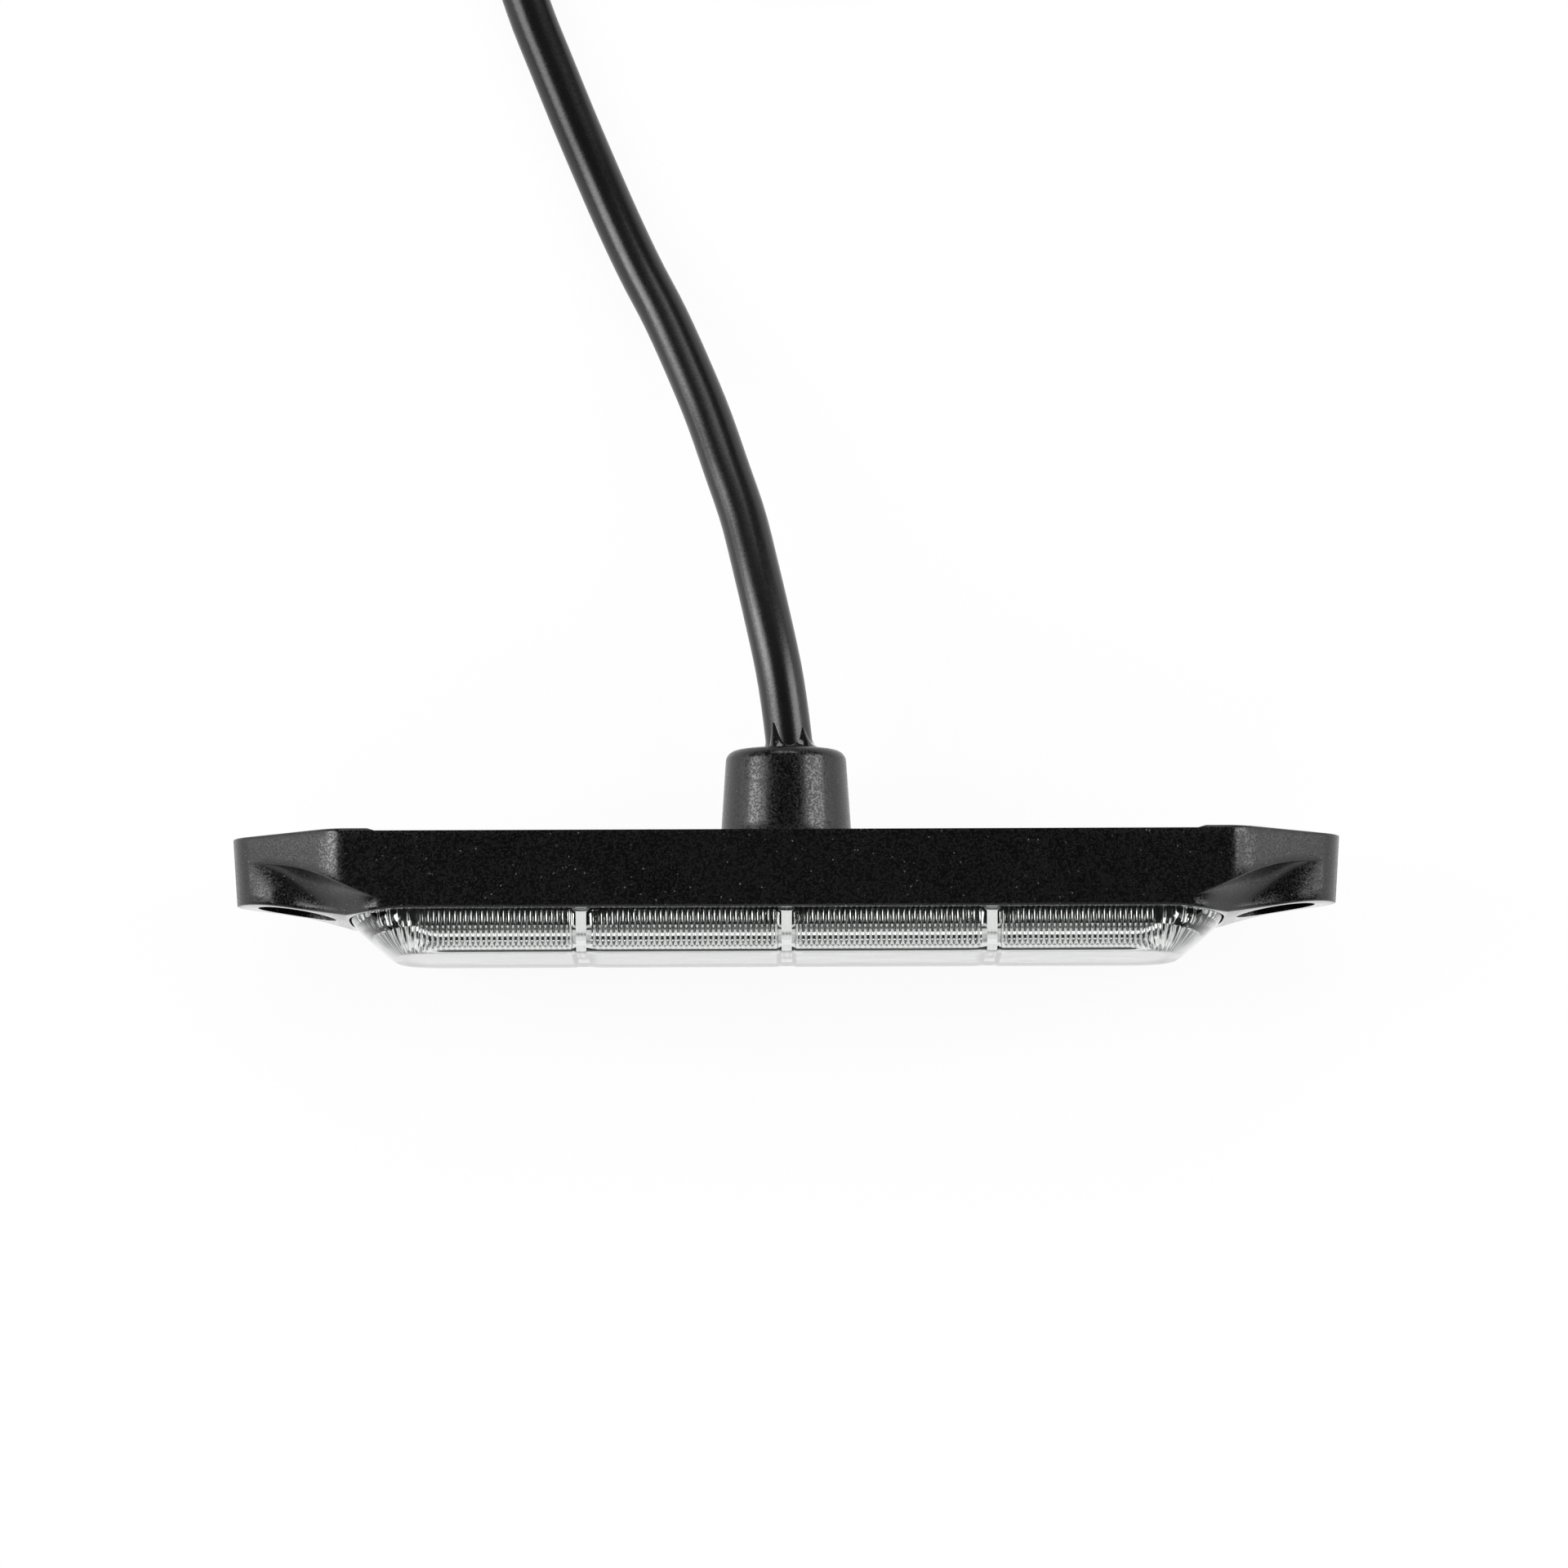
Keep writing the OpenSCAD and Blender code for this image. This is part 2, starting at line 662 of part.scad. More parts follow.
// Where one core leaves the jacket inside the boss
core_reach = 1.35;
function core_root(i) = [
    cable_exit.x - exit_heading.x * cable_grip + core_reach * cos(core_angle[i]),
    core_reach * sin(core_angle[i]),
    -boss_height + cable_grip + 0.35
];

function core_route(i) =
    let (
        rise = core_rise[i],
        pad = core_pad[i],
        away = unit(pad - rise),
        flat = board_top + core_radius + 0.05
    )
    [
        core_root(i),
        core_root(i) + [0, 0, 0.8],
        [rise.x, rise.y, -0.8],
        [rise.x, rise.y, board_top - 0.7],
        [rise.x + 0.25 * away.x, rise.y + 0.25 * away.y, board_top + 0.1],
        [rise.x + 0.8 * away.x, rise.y + 0.8 * away.y, flat],
        [pad.x - 1.1 * away.x, pad.y - 1.1 * away.y, flat]
    ];

module core(i) {
    color(CORE_COLOURS[i]) lay() tube(core_route(i), core_radius, 8, [1, 0.02, 0.01]);
}

module cable_end() {
    color("#161617") at_exit() translate([0, 0, -cable_grip]) cylinder(r = cable_radius, h = cable_grip);
}

module cable_potting() {
    color("#26262a") difference() {
        lay() translate([0, 0, -boss_height + 0.3]) cylinder(d = boss_bore, h = cable_grip - 0.8);
        at_exit() translate([0, 0, -cable_grip - 4]) cylinder(r = cable_radius, h = cable_grip + 8);
    }
}

// Glossy adhesive that has crept up the cable where it leaves the boss
seal_profile = [[0, -1], [1.5, -1], [1.15, 0.15], [0.6, 0.7], [0.3, 1.6], [0.2, 2.8], [0.08, 4], [0, 4]];
module cable_seal() {
    color("#141416") difference() {
        at_exit() rotate_extrude()
            polygon([for (p = seal_profile) [cable_radius + p.x, p.y]]);
        lay() translate([0, 0, -boss_height]) cylinder(d = boss_root, h = boss_height);
    }
}

module cable_lead() {
    color("#161617") tube(lead_route, cable_radius, 12);
}

module cable_coil() {
    low = tie_thickness;
    mid = low + cable_diameter;
    top = mid + cable_diameter;
    inner = coil_mean - 1.5 * cable_diameter;
    middle = coil_mean + 0.5 * cable_diameter;
    outer = coil_mean + 1.5 * cable_diameter;
    e = 1.2;
    color("#161617") translate([coil_centre.x, coil_centre.y, 0]) rotate_extrude()
        polygon([[inner + e, low], [outer - e, low], [outer, low + e], [outer, mid - e], [outer - e, mid],
            [middle, mid], [middle, top - e], [middle - e, top], [inner + e, top], [inner, top - e],
            [inner, low + e]]);
}

// Twist tie round the bundle, just past where the lead joins it
tie_turn = 168;
module cable_tie() {
    gap = 0.3;
    inner = coil_mean - 1.5 * cable_diameter - gap;
    middle = coil_mean + 0.5 * cable_diameter + gap;
    outer = coil_mean + 1.5 * cable_diameter + gap;
    low = tie_thickness;
    mid = low + cable_diameter + gap;
    top = mid + cable_diameter;
    t = tie_thickness;
    color("#101010") translate([coil_centre.x, coil_centre.y, 0]) rotate([0, 0, tie_turn])
        rotate([90, 0, 0]) linear_extrude(tie_width, center = true) difference() {
            polygon([[inner - t, 0], [outer + t, 0], [outer + t, mid + t], [middle + t, mid + t],
                [middle + t, top + t], [inner - t, top + t]]);
            polygon([[inner, low], [outer, low], [outer, mid], [middle, mid], [middle, top], [inner, top]]);
        }
}

module cable_tail() {
    color("#161617") tube(tail_route, cable_radius, 12);
}

tail_last = tail_route[len(tail_route) - 1];
tail_heading = unit(tail_last - tail_route[len(tail_route) - 2]);
function tail_side(along) = unit(cross(along, [0, 0, 1]));

// Each core leaves the jacket in its own place, then settles on the table
function tail_core_route(i) =
    let (
        side = tail_side(tail_heading),
        start = tail_last + tail_core_start[i].x * side + [0, 0, tail_core_start[i].y],
        way = [tail_heading.x, tail_heading.y, 0] * cos(tail_core_spread[i])
            + side * sin(tail_core_spread[i]),
        rest = core_radius
    )
    [for (s = [0:8])
        let (u = s / 8, d = tail_core_length * u, blend = ease(u * 1.6))
        let (p = start + tail_heading * d * (1 - u) + way * d * u)
        [p.x, p.y, lerp(start.z, rest, blend)]];

module tail_core(i) {
    color(CORE_COLOURS[i]) tube(tail_core_route(i), core_radius, 8);
}

module tinned_tips() {
    color("#c3c6c8") for (i = [0:4]) {
        route = tail_core_route(i);
        last = route[len(route) - 1];
        along = heading(route, len(route) - 1);
        tube([last, last + tinned_length * [along.x, along.y, 0]], core_radius * 0.6, 8);
    }
}

// ---- Nodes -----------------------------------------------------------------

housing();
outer_lens();
lens_gasket();
for (i = [0:module_count - 1])
    reflector(i);
for (number = [1:led_count])
    led(number);
led_board();
thermal_pad();
controller_chip();
power_switches();
chokes();
capacitors();
resistors();
input_diode();
board_screws();
core_joints();
for (i = [0:len(CORE_NAMES) - 1])
    core(i);
cable_end();
cable_potting();
cable_seal();
cable_lead();
cable_coil();
cable_tie();
cable_tail();
for (i = [0:len(CORE_NAMES) - 1])
    tail_core(i);
tinned_tips();
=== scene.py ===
# Surface-mount LED warning lamp lying on its long side wall, with its lead coiled behind it.
import math
import bmesh
import bpy
from mathutils import Matrix, Vector, noise
from mathutils.geometry import tessellate_polygon


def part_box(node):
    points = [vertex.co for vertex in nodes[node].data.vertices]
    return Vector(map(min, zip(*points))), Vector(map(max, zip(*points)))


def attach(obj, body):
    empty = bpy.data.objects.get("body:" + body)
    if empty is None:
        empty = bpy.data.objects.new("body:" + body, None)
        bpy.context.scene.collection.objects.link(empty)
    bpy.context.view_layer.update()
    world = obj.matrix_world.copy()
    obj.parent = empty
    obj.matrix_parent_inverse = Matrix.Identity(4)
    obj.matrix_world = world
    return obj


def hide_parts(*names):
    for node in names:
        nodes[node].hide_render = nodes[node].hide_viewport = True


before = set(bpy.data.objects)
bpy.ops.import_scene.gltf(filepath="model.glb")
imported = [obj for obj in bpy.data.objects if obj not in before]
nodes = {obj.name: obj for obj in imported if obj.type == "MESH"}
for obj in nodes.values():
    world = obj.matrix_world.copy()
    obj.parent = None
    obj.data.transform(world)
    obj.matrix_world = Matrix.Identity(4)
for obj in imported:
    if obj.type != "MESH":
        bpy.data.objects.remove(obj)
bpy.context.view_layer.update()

mm = 0.001

# The lamp's own axes: x along it, y across it, z from the mounting face to the lens, in mm.
lampSize = {"rim": 9.3, "padDepth": 2.6, "smoothAngle": 50}
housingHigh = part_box("housing")[1]
halfLength, halfWidth, rim = housingHigh.x / mm, housingHigh.z / mm / 2, lampSize["rim"]
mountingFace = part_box("thermal_pad")[1].y / mm + lampSize["padDepth"]


def toScene(x, y, z):
    return Vector((x, mountingFace - z, halfWidth + y)) * mm


def lerp(a, b, t):
    return a + (b - a) * t


def between(a, b, t):
    return [lerp(p, q, t) for p, q in zip(a, b)]


def clamp(t, low=0.0, high=1.0):
    return min(max(t, low), high)


def ease(t):
    return (1 - math.cos(math.pi * clamp(t))) / 2


# Camera
print("camera")
cameraSize = {
    "target": (-0.24 * mm, 8.43 * mm, 14.5 * mm),
    "distance": 1.0,
    "elevation": 84.05,
    "roll": -0.22,
    "lens": 195.0,
    "clip": (0.02, 20),
}
camera = bpy.data.objects.new("camera", bpy.data.cameras.new("camera"))
bpy.context.scene.collection.objects.link(camera)
tilt = math.radians(cameraSize["elevation"])
away = Vector((0, -math.cos(tilt), math.sin(tilt)))
camera.location = Vector(cameraSize["target"]) + away * cameraSize["distance"]
roll = Matrix.Rotation(math.radians(cameraSize["roll"]), 3, "Z")
camera.rotation_euler = ((-away).to_track_quat("-Z", "Y").to_matrix() @ roll).to_euler()
camera.data.lens = cameraSize["lens"]
camera.data.clip_start, camera.data.clip_end = cameraSize["clip"]
bpy.context.scene.camera = camera
bpy.context.scene.view_settings.view_transform = "Standard"


# Meshes
def addPiece(name, mesh, material=None, sharp=None):
    piece = bpy.data.objects.new(name, mesh)
    bpy.context.scene.collection.objects.link(piece)
    if material:
        mesh.materials.append(material)
    if sharp is not None:
        mesh.shade_smooth()
        mesh.set_sharp_from_angle(angle=math.radians(sharp))
    return piece


def dropPiece(piece):
    mesh = piece.data
    bpy.data.objects.remove(piece)
    bpy.data.meshes.remove(mesh)


def meshOf(name, points, faces, merge=None):
    mesh = bpy.data.meshes.new(name)
    mesh.from_pydata([Vector(p) for p in points], [], faces)
    bm = bmesh.new()
    bm.from_mesh(mesh)
    if merge:
        bmesh.ops.remove_doubles(bm, verts=bm.verts, dist=merge)
    bmesh.ops.recalc_face_normals(bm, faces=bm.faces)
    bm.to_mesh(mesh)
    bm.free()
    return mesh


def ringFaces(rings, count, closed=True, first=0):
    faces = []
    for i in range(rings - 1):
        for s in range(count if closed else count - 1):
            a, b = first + i * count + s, first + i * count + (s + 1) % count
            faces.append((a, a + count, b + count, b))
    return faces


def loftMesh(name, rings):
    count = len(rings[0])
    faces = ringFaces(len(rings), count)
    faces.append(tuple(range(count)))
    faces.append(tuple((len(rings) - 1) * count + s for s in reversed(range(count))))
    return meshOf(name, [p for ring in rings for p in ring], faces)


def prism(name, outline, low, high):
    # outline is in the lamp's x and y, drawn up from one height to another
    return loftMesh(name, [[toScene(x, y, h) for x, y in outline] for h in (low, high)])


def circle(steps):
    turns = [2 * math.pi * s / steps for s in range(steps)]
    return [(math.cos(a), math.sin(a)) for a in turns]


def lathe(name, profile, centre=(0, 0), steps=64):
    # profile is (radius, height) from the first end to the last, round the lamp's own z
    turns = circle(steps)
    rings = [[toScene(centre[0] + r * x, centre[1] + r * y, h) for x, y in turns] for r, h in profile]
    return loftMesh(name, rings)


def arc(centre, radius, start, end, steps):
    turn = [math.radians(lerp(start, end, i / steps)) for i in range(steps + 1)]
    return [(centre[0] + radius[0] * math.cos(a), centre[1] + radius[1] * math.sin(a)) for a in turn]


def roundRect(halfX, halfY, r, steps=6):
    x, y = halfX - r, halfY - r
    corners = [(x, y, 0), (-x, y, 90), (-x, -y, 180), (x, -y, 270)]
    return [p for x, y, a in corners for p in arc((x, y), (r, r), a, a + 90, steps)]


def spline(p0, p1, p2, p3, t):
    # Catmull-Rom from p1 to p2
    bend = (2 * p0 - 5 * p1 + 4 * p2 - p3) * t * t
    return 0.5 * (2 * p1 + (p2 - p0) * t + bend + (3 * p1 - 3 * p2 + p3 - p0) * t ** 3)


def evenSteps(lengths, count):
    # Where equal steps fall on a line of known running lengths: the segment, and the share of it
    steps, i = [], 0
    for k in range(count + 1):
        goal = lengths[-1] * k / count
        while i < len(lengths) - 2 and lengths[i + 1] < goal:
            i += 1
        steps.append((i, (goal - lengths[i]) / (lengths[i + 1] - lengths[i])))
    return steps


def evaluatedMesh(piece, name):
    graph = bpy.context.evaluated_depsgraph_get()
    mesh = bpy.data.meshes.new_from_object(piece.evaluated_get(graph))
    mesh.name = name
    dropPiece(piece)
    return mesh


def combined(name, base, *steps):
    # base and the step meshes are joined or cut one after another; returns the plain mesh
    piece = addPiece(name, base)
    tools = []
    for how, mesh in steps:
        change = piece.modifiers.new("change", "BOOLEAN")
        change.operation = how
        change.solver = "MANIFOLD"
        change.object = addPiece(name + "Tool", mesh)
        tools.append(change.object)
    mesh = evaluatedMesh(piece, name)
    mesh.materials.clear()
    mesh.polygons.foreach_set("material_index", [0] * len(mesh.polygons))
    for tool in tools:
        dropPiece(tool)
    return mesh


def joinPieces(name, pieces):
    bm = bmesh.new()
    for piece in pieces:
        bm.from_mesh(piece.data)
    mesh = bpy.data.meshes.new(name)
    bm.to_mesh(mesh)
    bm.free()
    coat = pieces[0].data.materials[0]
    for piece in pieces:
        dropPiece(piece)
    return addPiece(name, mesh, coat, lampSize["smoothAngle"])


# Materials
def put(tree, kind, inputs=None, **settings):
    made = tree.nodes.new(kind)
    for key, value in settings.items():
        setattr(made, key, value)
    for key, value in (inputs or {}).items():
        if isinstance(value, bpy.types.NodeSocket):
            tree.links.new(value, made.inputs[key])
        else:
            made.inputs[key].default_value = value
    return made


def newTree(name, family, inputs, outputs):
    # inputs are name: (kind, value), outputs are name: kind
    tree = bpy.data.node_groups.new(name, family + "NodeTree")
    for key, (kind, value) in inputs.items():
        socket = tree.interface.new_socket(name=key, in_out="INPUT", socket_type="NodeSocket" + kind)
        if value is not None:
            socket.default_value = value
    for key, kind in outputs.items():
        tree.interface.new_socket(name=key, in_out="OUTPUT", socket_type="NodeSocket" + kind)
    return tree, tree.nodes.new("NodeGroupInput").outputs, tree.nodes.new("NodeGroupOutput").inputs


def mathNode(tree, operation, *values):
    return put(tree, "ShaderNodeMath", dict(enumerate(values)), operation=operation).outputs[0]


def span(tree, value, fromLow, fromHigh, toLow=0.0, toHigh=1.0, smooth=False):
    ends = {0: value, 1: fromLow, 2: fromHigh, 3: toLow, 4: toHigh}
    kind = "SMOOTHSTEP" if smooth else "LINEAR"
    return put(tree, "ShaderNodeMapRange", ends, interpolation_type=kind).outputs[0]


def noiseAt(tree, vector, scale, detail=3.0, roughness=0.55):
    sockets = {"Vector": vector, "Scale": scale, "Detail": detail, "Roughness": roughness}
    return put(tree, "ShaderNodeTexNoise", sockets).outputs["Fac"]


def tone(colour):
    # A plain number is a grey, and a socket stays as it is
    if isinstance(colour, bpy.types.NodeSocket):
        return colour
    return (*colour, 1) if isinstance(colour, tuple) else (colour, colour, colour, 1)


def mixColour(tree, factor, first, second):
    inputs = {0: factor, 6: tone(first), 7: tone(second)}
    return put(tree, "ShaderNodeMix", inputs, data_type="RGBA").outputs[2]


def mixValue(tree, factor, first, second):
    return put(tree, "ShaderNodeMix", {0: factor, 2: first, 3: second}, data_type="FLOAT").outputs[0]


# Grain of a moulded, cast or coated surface: a height, a slow cloud, and a few fine bright dots that are
# painted glints, standing in for grains that catch the lamps
grainLook = {
    "pits": (0.47, 0.6), "coarse": 0.36, "cloud": 0.02, "paintedGlints": 0.75, "glintEdge": (0.1, 0.3),
    "dimGlint": 0.15,
}
grainInputs = {
    "Vector": ("Vector", None), "Scale": ("Float", 3000.0), "Coarse": ("Float", 0.5),
    "Sharp": ("Float", 0.0), "PaintedGlints": ("Float", 0.06),
}
grainOutputs = {"Height": "Float", "Cloud": "Float", "PaintedGlint": "Float"}
grainGroup, grainIn, grainOut = newTree("surfaceGrain", "Shader", grainInputs, grainOutputs)
place, scale = grainIn["Vector"], grainIn["Scale"]
fineNoise = noiseAt(grainGroup, place, scale, 4.0, 0.6)
pitted = span(grainGroup, fineNoise, *grainLook["pits"], smooth=True)
fineHeight = mixValue(grainGroup, grainIn["Sharp"], fineNoise, pitted)
coarseScale = mathNode(grainGroup, "MULTIPLY", scale, grainLook["coarse"])
coarseNoise = noiseAt(grainGroup, place, coarseScale, 2.0, 0.5)
grainHeight = mixValue(grainGroup, grainIn["Coarse"], fineHeight, coarseNoise)
cloudScale = mathNode(grainGroup, "MULTIPLY", scale, grainLook["cloud"])
cloudNoise = noiseAt(grainGroup, place, cloudScale, 3.0, 0.5)
# Painted glints: a few cells of a Voronoi pattern become small bright dots, with a soft edge and a random
# brightness
glintScale = mathNode(grainGroup, "MULTIPLY", scale, grainLook["paintedGlints"])
glintCells = put(grainGroup, "ShaderNodeTexVoronoi", {"Vector": place, "Scale": glintScale})
glintPick = put(grainGroup, "ShaderNodeSeparateColor", {0: glintCells.outputs["Color"]})
chosen = mathNode(grainGroup, "LESS_THAN", glintPick.outputs[0], grainIn["PaintedGlints"])
near = span(grainGroup, glintCells.outputs["Distance"], *grainLook["glintEdge"], 1.0, 0.0)
bright = span(grainGroup, glintPick.outputs[1], 0.0, 1.0, grainLook["dimGlint"], 1.0)
paintedGlint = mathNode(grainGroup, "MULTIPLY", mathNode(grainGroup, "MULTIPLY", chosen, near), bright)
for key, value in (("Height", grainHeight), ("Cloud", cloudNoise), ("PaintedGlint", paintedGlint)):
    grainGroup.links.new(value, grainOut[key])


def grainNode(tree, vector, scale, coarse=0.5, paintedGlints=0.0, sharp=0.0):
    sockets = {"Vector": vector, "Scale": scale, "Coarse": coarse, "Sharp": sharp, "PaintedGlints": paintedGlints}
    return put(tree, "ShaderNodeGroup", sockets, node_tree=grainGroup).outputs


def newMaterial(name, **sockets):
    made = bpy.data.materials.new(name)
    made.use_nodes = True
    tree = made.node_tree
    shader = tree.nodes["Principled BSDF"].inputs
    for key, value in sockets.items():
        shader[key.replace("_", " ")].default_value = value
    where = put(tree, "ShaderNodeTexCoord").outputs["Object"]
    return made, tree, shader, where


def clouded(tree, grain, first, second):
    # Two tones in slow patches
    return mixColour(tree, span(tree, grain["Cloud"], 0.3, 0.7), first, second)


def bumpFrom(tree, shader, height, depth):
    # depth in mm
    bump = put(tree, "ShaderNodeBump", {"Height": height, "Distance": depth * mm, "Strength": 1.0})
    tree.links.new(bump.outputs[0], shader["Normal"])


def grainedMaterial(name, spec):
    # spec: colours and roughness, each as (low, high), with the grain's size and depth in mm
    made, tree, shader, where = newMaterial(name, **spec.get("sockets", {}))
    extras = [spec.get(key, usual) for key, usual in (("coarse", 0.5), ("paintedGlints", 0), ("sharp", 0))]
    grain = grainNode(tree, where, 1 / (spec["grain"] * mm), *extras)
    colour = clouded(tree, grain, *spec["colours"])
    # Painted glints: small bright dots are mixed into the base colour, in place of grains catching the
    # lamps
    if "paintedGlintColour" in spec:
        colour = mixColour(tree, grain["PaintedGlint"], colour, spec["paintedGlintColour"])
    tree.links.new(colour, shader["Base Color"])
    if "frontGloss" in spec:
        # Faces that look straight out to the front are smoother, and shine at a low angle
        normal = put(tree, "ShaderNodeTexCoord").outputs["Normal"]
        ahead = put(tree, "ShaderNodeSeparateXYZ", {0: normal}).outputs["Y"]
        gloss = span(tree, ahead, -0.9, -0.985, 0.0, spec["frontGloss"])
        tree.links.new(gloss, shader["Coat Weight"])
    tree.links.new(span(tree, grain["Height"], 0.3, 0.7, *spec["roughness"]), shader["Roughness"])
    bumpFrom(tree, shader, grain["Height"], spec["depth"])
    return made


print("materials")
finishes = {
    "housingCoat": {
        "colours": (0.0015, 0.003), "roughness": (0.2, 0.3), "grain": 0.27, "depth": 0.012, "coarse": 0.15,
        # the speck share and speck colour paint small glints into the black coat's colour
        "sharp": 0.85, "paintedGlints": 0.05, "paintedGlintColour": 0.2, "frontGloss": 0.9,
        "sockets": {"Coat Roughness": 0.05},
    },
}
# name: colours, roughness, grain, depth, metallic
plainFinishes = {
    "thermalPad": (((0.27, 0.32, 0.38), (0.32, 0.36, 0.42)), (0.7, 0.85), 0.25, 0.01, 0),
    "blackEpoxy": ((0.012, 0.02), (0.42, 0.55), 0.12, 0.006, 0),
    "ferrite": (((0.06, 0.055, 0.05), (0.09, 0.085, 0.08)), (0.5, 0.7), 0.15, 0.01, 0),
    "ceramicBrown": (((0.42, 0.3, 0.17), (0.5, 0.37, 0.22)), (0.35, 0.5), 0.2, 0.004, 0),
    "screwSteel": ((0.55, 0.66), (0.22, 0.36), 0.12, 0.004, 1),
    "solder": ((0.6, 0.7), (0.18, 0.34), 0.4, 0.02, 1),
    "potting": ((0.008, 0.014), (0.12, 0.2), 1.2, 0.03, 0),
    "gasketRubber": ((0.015, 0.022), (0.65, 0.8), 0.2, 0.01, 0),
    "tiePlastic": ((0.01, 0.016), (0.35, 0.5), 0.25, 0.008, 0),
    "ledBody": ((0.72, 0.78), (0.3, 0.42), 0.1, 0.003, 0),
    "phosphor": (((0.78, 0.62, 0.08), (0.85, 0.7, 0.14)), (0.5, 0.6), 0.08, 0.004, 0),
    "goldPad": (((0.75, 0.5, 0.2), (0.82, 0.58, 0.26)), (0.2, 0.3), 0.1, 0.003, 1),
}
coreColours = {
    "red": (0.42, 0.012, 0.01), "black": (0.01, 0.01, 0.011), "yellow": (0.62, 0.43, 0.02),
    "blue": (0.015, 0.06, 0.3), "white": (0.75, 0.75, 0.72),
}
for name, colour in coreColours.items():
    darker = tuple(0.85 * c for c in colour)
    plainFinishes["core" + name.capitalize()] = ((darker, colour), (0.32, 0.44), 0.3, 0.006, 0)
for name, (colours, roughness, grain, depth, metallic) in plainFinishes.items():
    finishes[name] = {
        "colours": colours, "roughness": roughness, "grain": grain, "depth": depth,
        "sockets": {"Metallic": metallic},
    }
material = {name: grainedMaterial(name, spec) for name, spec in finishes.items()}


def jacketMaterial():
    # Extruded jacket: fine grain, and faint lines that run along it
    made, tree, shader, where = newMaterial("cableJacket")
    across = put(tree, "ShaderNodeAttribute", attribute_name="cross").outputs["Vector"]
    lines = noiseAt(tree, across, 9.0, 3.0, 0.6)
    grain = grainNode(tree, where, 2600.0, 0.3, 0.02)
    both = mathNode(tree, "ADD", mathNode(tree, "MULTIPLY", lines, 0.6), grain["Height"])
    tree.links.new(clouded(tree, grain, 0.0035, 0.006), shader["Base Color"])
    tree.links.new(span(tree, both, 0.5, 1.1, 0.22, 0.32), shader["Roughness"])
    bumpFrom(tree, shader, both, 0.012)
    return made


def adhesiveMaterial():
    made, tree, shader, where = newMaterial("sealAdhesive", Roughness=0.07, Coat_Weight=0.4)
    crinkle = noiseAt(tree, where, 900.0, 3.0, 0.5)
    tree.links.new(mixColour(tree, crinkle, 0.004, 0.012), shader["Base Color"])
    bumpFrom(tree, shader, crinkle, 0.12)
    return made


def clearMaterial(name, tint, roughness, ior):
    # Moulded clear plastic: nearly flat, with a very slow waviness
    made, tree, shader, where = newMaterial(
        name, Base_Color=(*tint, 1), Roughness=roughness, IOR=ior, Transmission_Weight=1.0
    )
    bumpFrom(tree, shader, noiseAt(tree, where, 260.0, 1.0, 0.4), 0.01)
    return made


def mirrorMaterial():
    made, tree, shader, where = newMaterial("mirrorCoat", Metallic=1.0)
    grain = grainNode(tree, where, 1800.0, 0.6)
    tree.links.new(clouded(tree, grain, 0.66, (0.74, 0.745, 0.75)), shader["Base Color"])
    tree.links.new(span(tree, grain["Cloud"], 0.3, 0.7, 0.06, 0.13), shader["Roughness"])
    bumpFrom(tree, shader, grain["Height"], 0.006)
    return made


def boardMaterial():
    # White mask with a few copper tracks showing through as slightly raised, warmer bands
    made, tree, shader, where = newMaterial("boardMask")
    bricks = {"Vector": where, "Scale": 190.0, "Mortar Size": 0.012, "Mortar Smooth": 0.2}
    tracks = put(tree, "ShaderNodeTexBrick", bricks).outputs["Fac"]
    grain = grainNode(tree, where, 4000.0, 0.4)
    tree.links.new(mixColour(tree, tracks, (0.76, 0.77, 0.74), (0.62, 0.62, 0.55)), shader["Base Color"])
    tree.links.new(span(tree, grain["Height"], 0.3, 0.7, 0.28, 0.4), shader["Roughness"])
    both = mathNode(tree, "SUBTRACT", mathNode(tree, "MULTIPLY", grain["Height"], 0.3), tracks)
    bumpFrom(tree, shader, both, 0.02)
    return made


material["cableJacket"] = jacketMaterial()
material["sealAdhesive"] = adhesiveMaterial()
material["clearLens"] = clearMaterial("clearLens", (0.84, 0.855, 0.845), 0.06, 1.58)
material["clearDome"] = clearMaterial("clearDome", (0.98, 0.98, 0.96), 0.02, 1.45)
material["mirrorCoat"] = mirrorMaterial()
material["boardMask"] = boardMaterial()


# Cable, its stripped cores and their tips
print("cable")
cableSize = {"diameter": 5.5, "coreDiameter": 1.2, "sides": 28, "step": 2.0, "coilStep": 10.0}
leadRoute = [
    (0.5, 12.3, 14.5), (-0.05, 17, 14.5), (-0.8, 22, 14.4), (-2.05, 28, 13.8), (-3.4, 34, 12.8),
    (-4.95, 40.5, 11.4), (-6.9, 46.5, 10), (-9.05, 53, 8.3), (-11.4, 59, 6.8), (-14.2, 65.5, 5.3),
    (-17.2, 71.5, 4.1), (-20.15, 78, 3.2), (-22.7, 84, 2.8), (-25.2, 90, 2.75), (-27.8, 96.5, 2.75),
    (-30.35, 103, 2.75), (-32.7, 110.5, 2.8), (-34.4, 118.5, 2.9), (-35.4, 127, 3.1), (-35.8, 137, 3.25),
]
# Turn by turn: angle from the left, radius and height. The bundle is three wide below, two above.
coilPlan = [
    (0, 38.5, 3.25), (250, 38.5, 3.25), (360, 33, 3.25), (610, 33, 3.25), (720, 27.5, 3.25),
    (860, 27.5, 3.25), (960, 27.5, 8.75), (1100, 27.5, 8.75), (1210, 33, 8.75), (1460, 33, 8.75),
    (1570, 38.5, 8.75),
]
coilMiddle = (2.75, 149)
tailRoute = [
    (33.4, 173.3, 8.75), (38.8, 167.4, 8.5), (43.5, 160.8, 7.3), (47.4, 153.7, 4.9), (50.3, 146.2, 3.3),
    (52.2, 138.4, 2.75),
]


